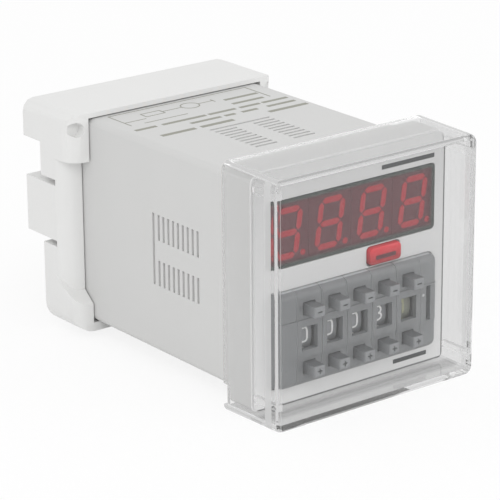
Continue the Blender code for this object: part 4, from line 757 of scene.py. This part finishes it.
# %% Plug, pins and rods
black, _, _, _ = plastic("black_phenolic", "242428", 0.38, grains=1500, grain_height=0.2, drift=0.25)
wear(black, "plug_base", "reset_switch")
brass, tree, brass_surface, use = plastic("plated_brass", "CDBB84", 0.24, grain_height=0.05, drift=0.12)
across, depth, height = place_sockets(tree)
rubbed = node(tree, "TexNoise")
rubbed.inputs["Scale"].default_value = 1.0
rub_place = node(tree, "CombineXYZ")
for slot, way, rubs_per_metre in zip(rub_place.inputs, (across, depth, height), (9000.0, 300.0, 9000.0)):
    tree.links.new(math_node(tree, "MULTIPLY", way, rubs_per_metre), slot)
tree.links.new(rub_place.outputs[0], rubbed.inputs["Vector"])
rub_rough = math_node(tree, "MULTIPLY_ADD", rubbed.outputs[0], 0.3, 0.1)
tree.links.new(rub_rough, brass_surface.inputs["Roughness"])
brass_surface.inputs["Metallic"].default_value = 1.0
wear(brass, *["plug_pin_%d" % n for n in range(1, 9)])
steel, _, steel_surface, _ = plastic("drawn_steel", "A0A0A2", 0.35)
steel_surface.inputs["Metallic"].default_value = 1.0
wear(steel, "upper_tie_rod", "lower_tie_rod")

# %% [markdown]
# Printed lines, numerals and bars are all one shape: a thin flat ribbon carried along a path. The path is a
# row of points (a, b); the ribbon's section is a rectangle from just below the surface to just above it. A
# place function then lays the flat pattern on a plate, on the case's top, or round a wheel.

# %% Ribbon along a path
PRINT_SINK = 0.00004
PRINT_RISE = 0.00003


def ribbon(path, width, sink, rise, closed=False):
    """Points (a, b, h): at each path point the section's corners lie half a width to each side of the path,
    along its normal, at heights -sink and rise. The normal is the path's direction turned by a quarter."""
    path = np.asarray(path, float)
    if closed:
        ahead = np.roll(path, -1, axis=0) - np.roll(path, 1, axis=0)
    else:
        ahead = np.gradient(path, axis=0)
    ahead /= np.linalg.norm(ahead, axis=1, keepdims=True)
    normal = np.stack([-ahead[:, 1], ahead[:, 0]], axis=1) * width / 2
    left, right = path + normal, path - normal
    low, high = np.full((len(path), 1), -sink), np.full((len(path), 1), rise)
    return np.stack([np.hstack([right, low]), np.hstack([right, high]),
                     np.hstack([left, high]), np.hstack([left, low])], axis=1)


def ribbons_mesh(name, strips, lay, body, material):
    """One object from many ribbons; lay turns the arrays a, b, h into x, y, z. Open ribbons get end faces."""
    points, faces, first = [], [], 0
    for strip, closed in strips:
        count = len(strip)
        index = first + np.arange(count * 4).reshape(count, 4)
        if closed:
            index = np.vstack([index, index[:1]])
        turned = np.hstack([index, index[:, :1]])
        quads = np.stack([turned[:-1, :-1], turned[:-1, 1:], turned[1:, 1:], turned[1:, :-1]], axis=-1)
        faces.append(quads.reshape(-1, 4))
        if not closed:
            faces.append(np.array([index[0][::-1], index[-1]]))
        points.append(strip.reshape(-1, 3))
        first += count * 4
    flat = np.vstack(points)
    solid = np.stack(lay(flat[:, 0], flat[:, 1], flat[:, 2]), axis=1)
    mesh = bpy.data.meshes.new(name)
    mesh.from_pydata(solid.tolist(), [], np.vstack(faces).tolist())
    mesh.update()
    item = bpy.data.objects.new(name, mesh)
    bpy.context.scene.collection.objects.link(item)
    mesh.materials.append(material)
    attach(item, body)
    print(name, "has", len(mesh.polygons), "faces")
    return item


def bow(centre, radii, start, stop, steps=22, power=1.0):
    """Part of an ellipse: centre + radii * (cos t, sin t), with t from start to stop in degrees. A power
    below 1 on the size of cos t and sin t, sign kept, pushes the curve out into its corners."""
    t = np.radians(np.linspace(start, stop, steps))
    circle = np.stack([np.cos(t), np.sin(t)], axis=1)
    return np.array(centre) + np.array(radii) * np.sign(circle) * np.abs(circle) ** power


def straight(first, last, steps=6):
    """Evenly spaced points first + (last - first) * s, with s from 0 to 1."""
    share = np.linspace(0, 1, steps)[:, None]
    return np.asarray(first, float) * (1 - share) + np.asarray(last, float) * share


# %% [markdown]
# Each number wheel carries the ten numerals, a tenth of a turn apart. A numeral is a few bows and straight
# strokes in a box two units high. It is carried round the wheel: its height becomes an angle, so the
# strokes follow the rim.

# %% Strokes of the ten numerals
NUMERALS = {
    0: [(bow((0, 0), (0.58, 1.0), 3, 351, 59, 0.5), True)],
    1: [(straight((0.1, -1), (0.1, 1)), False), (straight((0.1, 1), (-0.3, 0.6)), False)],
    2: [(np.vstack([bow((0, 0.45), (0.55, 0.55), 165, -35),
                    straight((0.4, 0.05), (-0.55, -0.95))]), False),
        (straight((-0.6, -1), (0.6, -1)), False)],
    3: [(bow((-0.05, 0.5), (0.5, 0.5), 150, -85), False),
        (bow((-0.05, -0.48), (0.58, 0.52), 88, -150), False)],
    4: [(straight((0.25, -1), (0.25, 1)), False), (straight((0.25, 1), (-0.6, -0.4)), False),
        (straight((-0.65, -0.4), (0.6, -0.4)), False)],
    5: [(straight((0.5, 1), (-0.45, 1)), False), (straight((-0.45, 1.05), (-0.5, 0.1)), False),
        (bow((-0.02, -0.35), (0.58, 0.65), 140, -145), False)],
    6: [(bow((0, -0.42), (0.55, 0.58), 0, 345, 26), True),
        (bow((0.45, -0.42), (1.0, 1.42), 108, 180), False)],
    7: [(straight((-0.55, 1), (0.58, 1)), False), (straight((0.55, 1.0), (-0.2, -1)), False)],
    8: [(bow((0, 0.52), (0.45, 0.48), 0, 345, 24), True), (bow((0, -0.48), (0.57, 0.52), 0, 345, 24), True)],
    9: [(bow((0, 0.42), (0.55, 0.58), 0, 345, 26), True), (bow((-0.45, 0.42), (1.0, 1.42), -72, 0), False)],
}
print("numerals", sorted(NUMERALS))

# %% Numerals round the wheels
STROKE = 0.00040
NUMERAL_SINK = 0.00009
NUMERAL_HALF = (0.00150, 0.00148)
NUMERAL_SHIFT = (-0.0003, 0.0001)
SHOWN = {1: 0, 2: 0, 3: 0, 4: 3, 5: 1}
numeral_white, _, _, _ = plastic("numeral_white", "F2F2F2", 0.5, grain_height=0.02)
numeral_green, _, _, _ = plastic("numeral_green", "A8AA88", 0.5, grain_height=0.02)
for number, shown in SHOWN.items():
    pivot = pivots["wheel_%d_turn" % number]
    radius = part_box("number_wheel_%d" % number)[1].z - pivot.z
    strips = []
    for value, strokes in NUMERALS.items():
        middle = (value - shown) * math.tau / 10 * radius
        for line, closed in strokes:
            placed = line * np.array(NUMERAL_HALF) + np.array(NUMERAL_SHIFT) + np.array([0.0, middle])
            strips.append((ribbon(placed, STROKE, NUMERAL_SINK, PRINT_RISE, closed), closed))

    def round_the_wheel(a, b, h, pivot=pivot, radius=radius):
        """x = pivot + a; the angle b / radius counts upwards from the front, at a distance radius + h."""
        angle = b / radius
        return pivot.x + a, pivot.y - (radius + h) * np.cos(angle), pivot.z + (radius + h) * np.sin(angle)

    ribbons_mesh("wheel_numerals_%d" % number, strips, round_the_wheel, "number_wheel_%d" % number,
                 numeral_green if number == 5 else numeral_white)

# %% [markdown]
# The print on the plate stays generic: plain bars where a real counter would carry words, and one dark bar
# on the reset button.

# %% Bars on the face plate and the reset button
ink, _, _, _ = plastic("dark_ink", "3E4042", 0.6, grain_height=0.02)
red_ink, _, _, _ = plastic("dark_red_ink", "5E2028", 0.5, grain_height=0.02)
reset_centre = (reset_low + reset_high) / 2


def on_the_plate(a, b, h):
    """The plate's face looks along -Y: x = a, z = middle height + b, and y goes forwards by h."""
    return a, PLATE_FRONT - h, MIDDLE_Z + b


def on_the_reset(a, b, h):
    """The button's face looks along -Y too: a and b count from the button's middle."""
    return reset_centre.x + a, reset_low.y - h, reset_centre.z + b


def bars(rows):
    """Each row is (left, right, height, thickness) and becomes one straight ribbon."""
    return [(ribbon(straight((left, height), (right, height)), thick, PRINT_SINK, PRINT_RISE), False)
            for left, right, height, thick in rows]


ribbons_mesh("plate_print", bars([(0.0070, 0.0208, 0.0203, 0.0009), (0.0105, 0.0194, -0.0216, 0.0009)]),
             on_the_plate, "housing", ink)
ribbons_mesh("reset_print", bars([(-0.0026, 0.0026, -0.0003, 0.0009)]), on_the_reset, "reset_button", red_ink)

# %% [markdown]
# The label printed on the case's top is generic as well: rows of plain bars, and a line diagram with a
# frame and a ring. Distances count from the counter's middle and from the front of the cover.

# %% Print on the top of the case
HAIRLINE = 0.00025
pale_ink, _, _, _ = plastic("pale_ink", "96968C", 0.6, grain_height=0.02)
LABEL_ROWS = [
    (0.0469, 0.0012, [(-0.0177, -0.0091), (-0.0077, 0.0007), (0.0100, 0.0202)]),
    (0.0503, 0.0010, [(-0.0078, 0.0000), (0.0010, 0.0037), (0.0055, 0.0096), (0.0122, 0.0196)]),
    (0.0532, 0.0010, [(-0.0197, -0.0144), (-0.0129, -0.0018), (-0.0010, 0.0060), (0.0071, 0.0124),
                      (0.0131, 0.0198)]),
    (0.0564, 0.0010, [(0.0077, 0.0159)]),
    (0.0598, 0.0010, [(0.0081, 0.0169)]),
]


def on_the_case_top(a, b, h):
    """The case's top looks up: x = a, y = front of the cover + b, z = case top + h."""
    return a, COVER_FRONT + b, CASE_TOP + h


label = [strip for level, thick, spans in LABEL_ROWS
         for strip in bars([(left, right, level, thick) for left, right in spans])]
diagram = [
    [(-0.0183, 0.0565), (-0.0183, 0.0649)], [(-0.0183, 0.0649), (0.0175, 0.0649)],
    [(0.0175, 0.0649), (0.0175, 0.0560)],
    [(-0.0183, 0.0590), (-0.0128, 0.0590)], [(-0.0150, 0.0565), (-0.0040, 0.0565)],
    [(-0.0120, 0.0600), (-0.0072, 0.0600)], [(-0.0120, 0.0622), (-0.0072, 0.0622)],
    [(-0.0120, 0.0600), (-0.0120, 0.0622)], [(-0.0072, 0.0600), (-0.0072, 0.0622)],
    [(-0.0072, 0.0611), (-0.0022, 0.0611)], [(0.0022, 0.0611), (0.0060, 0.0611)],
    [(0.0060, 0.0602), (0.0060, 0.0620)],
]
label += [(ribbon(straight(*ends), HAIRLINE, PRINT_SINK, PRINT_RISE), False) for ends in diagram]
ring = bow((0, 0.0611), (0.0021, 0.0019), 0, 350, 36)
label.append((ribbon(ring, HAIRLINE, PRINT_SINK, PRINT_RISE, True), True))
ribbons_mesh("case_top_print", label, on_the_case_top, "housing", pale_ink)

# %% [markdown]
# The plug's pins are numbered on its face, one to eight round the circle, so that the socket can be wired.
# The same strokes serve again, smaller, each turned upright beside its pin.

# %% Pin numbers on the plug
PIN_NUMBER_HALF = (0.0011, 0.0010)
PIN_NUMBER_CIRCLE = 0.0128
PIN_NUMBER_STROKE = 0.00028
PLUG_RIM_INSIDE = 0.0095
pin_white, _, _, _ = plastic("pin_number_grey", "8E8E90", 0.5, grain_height=0.02)
pin_boxes = {n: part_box("plug_pin_%d" % n) for n in range(1, 9)}
plug_middle = sum(((low + high) / 2 for low, high in pin_boxes.values()), Vector()) / 8
plug_corners = corner_array("plug_base")
from_axis = np.hypot(plug_corners[:, 0] - plug_middle.x, plug_corners[:, 2] - plug_middle.z)
outside = from_axis > PLUG_RIM_INSIDE
PLUG_FACE = float(plug_corners[outside, 1].max())


def on_the_plug(a, b, h):
    """The plug's face looks along +Y, so its picture is mirrored: x = middle - a, z = middle + b."""
    return plug_middle.x - a, PLUG_FACE + h, plug_middle.z + b


strips = []
for number, (low, high) in pin_boxes.items():
    out = (low + high) / 2 - plug_middle
    away = Vector((-out.x, out.z)).normalized() * PIN_NUMBER_CIRCLE
    for line, closed in NUMERALS[number]:
        placed = line * np.array(PIN_NUMBER_HALF) + np.array(away)
        strips.append((ribbon(placed, PIN_NUMBER_STROKE, PRINT_SINK, PRINT_RISE, closed), closed))
ribbons_mesh("pin_numbers", strips, on_the_plug, "housing", pin_white)
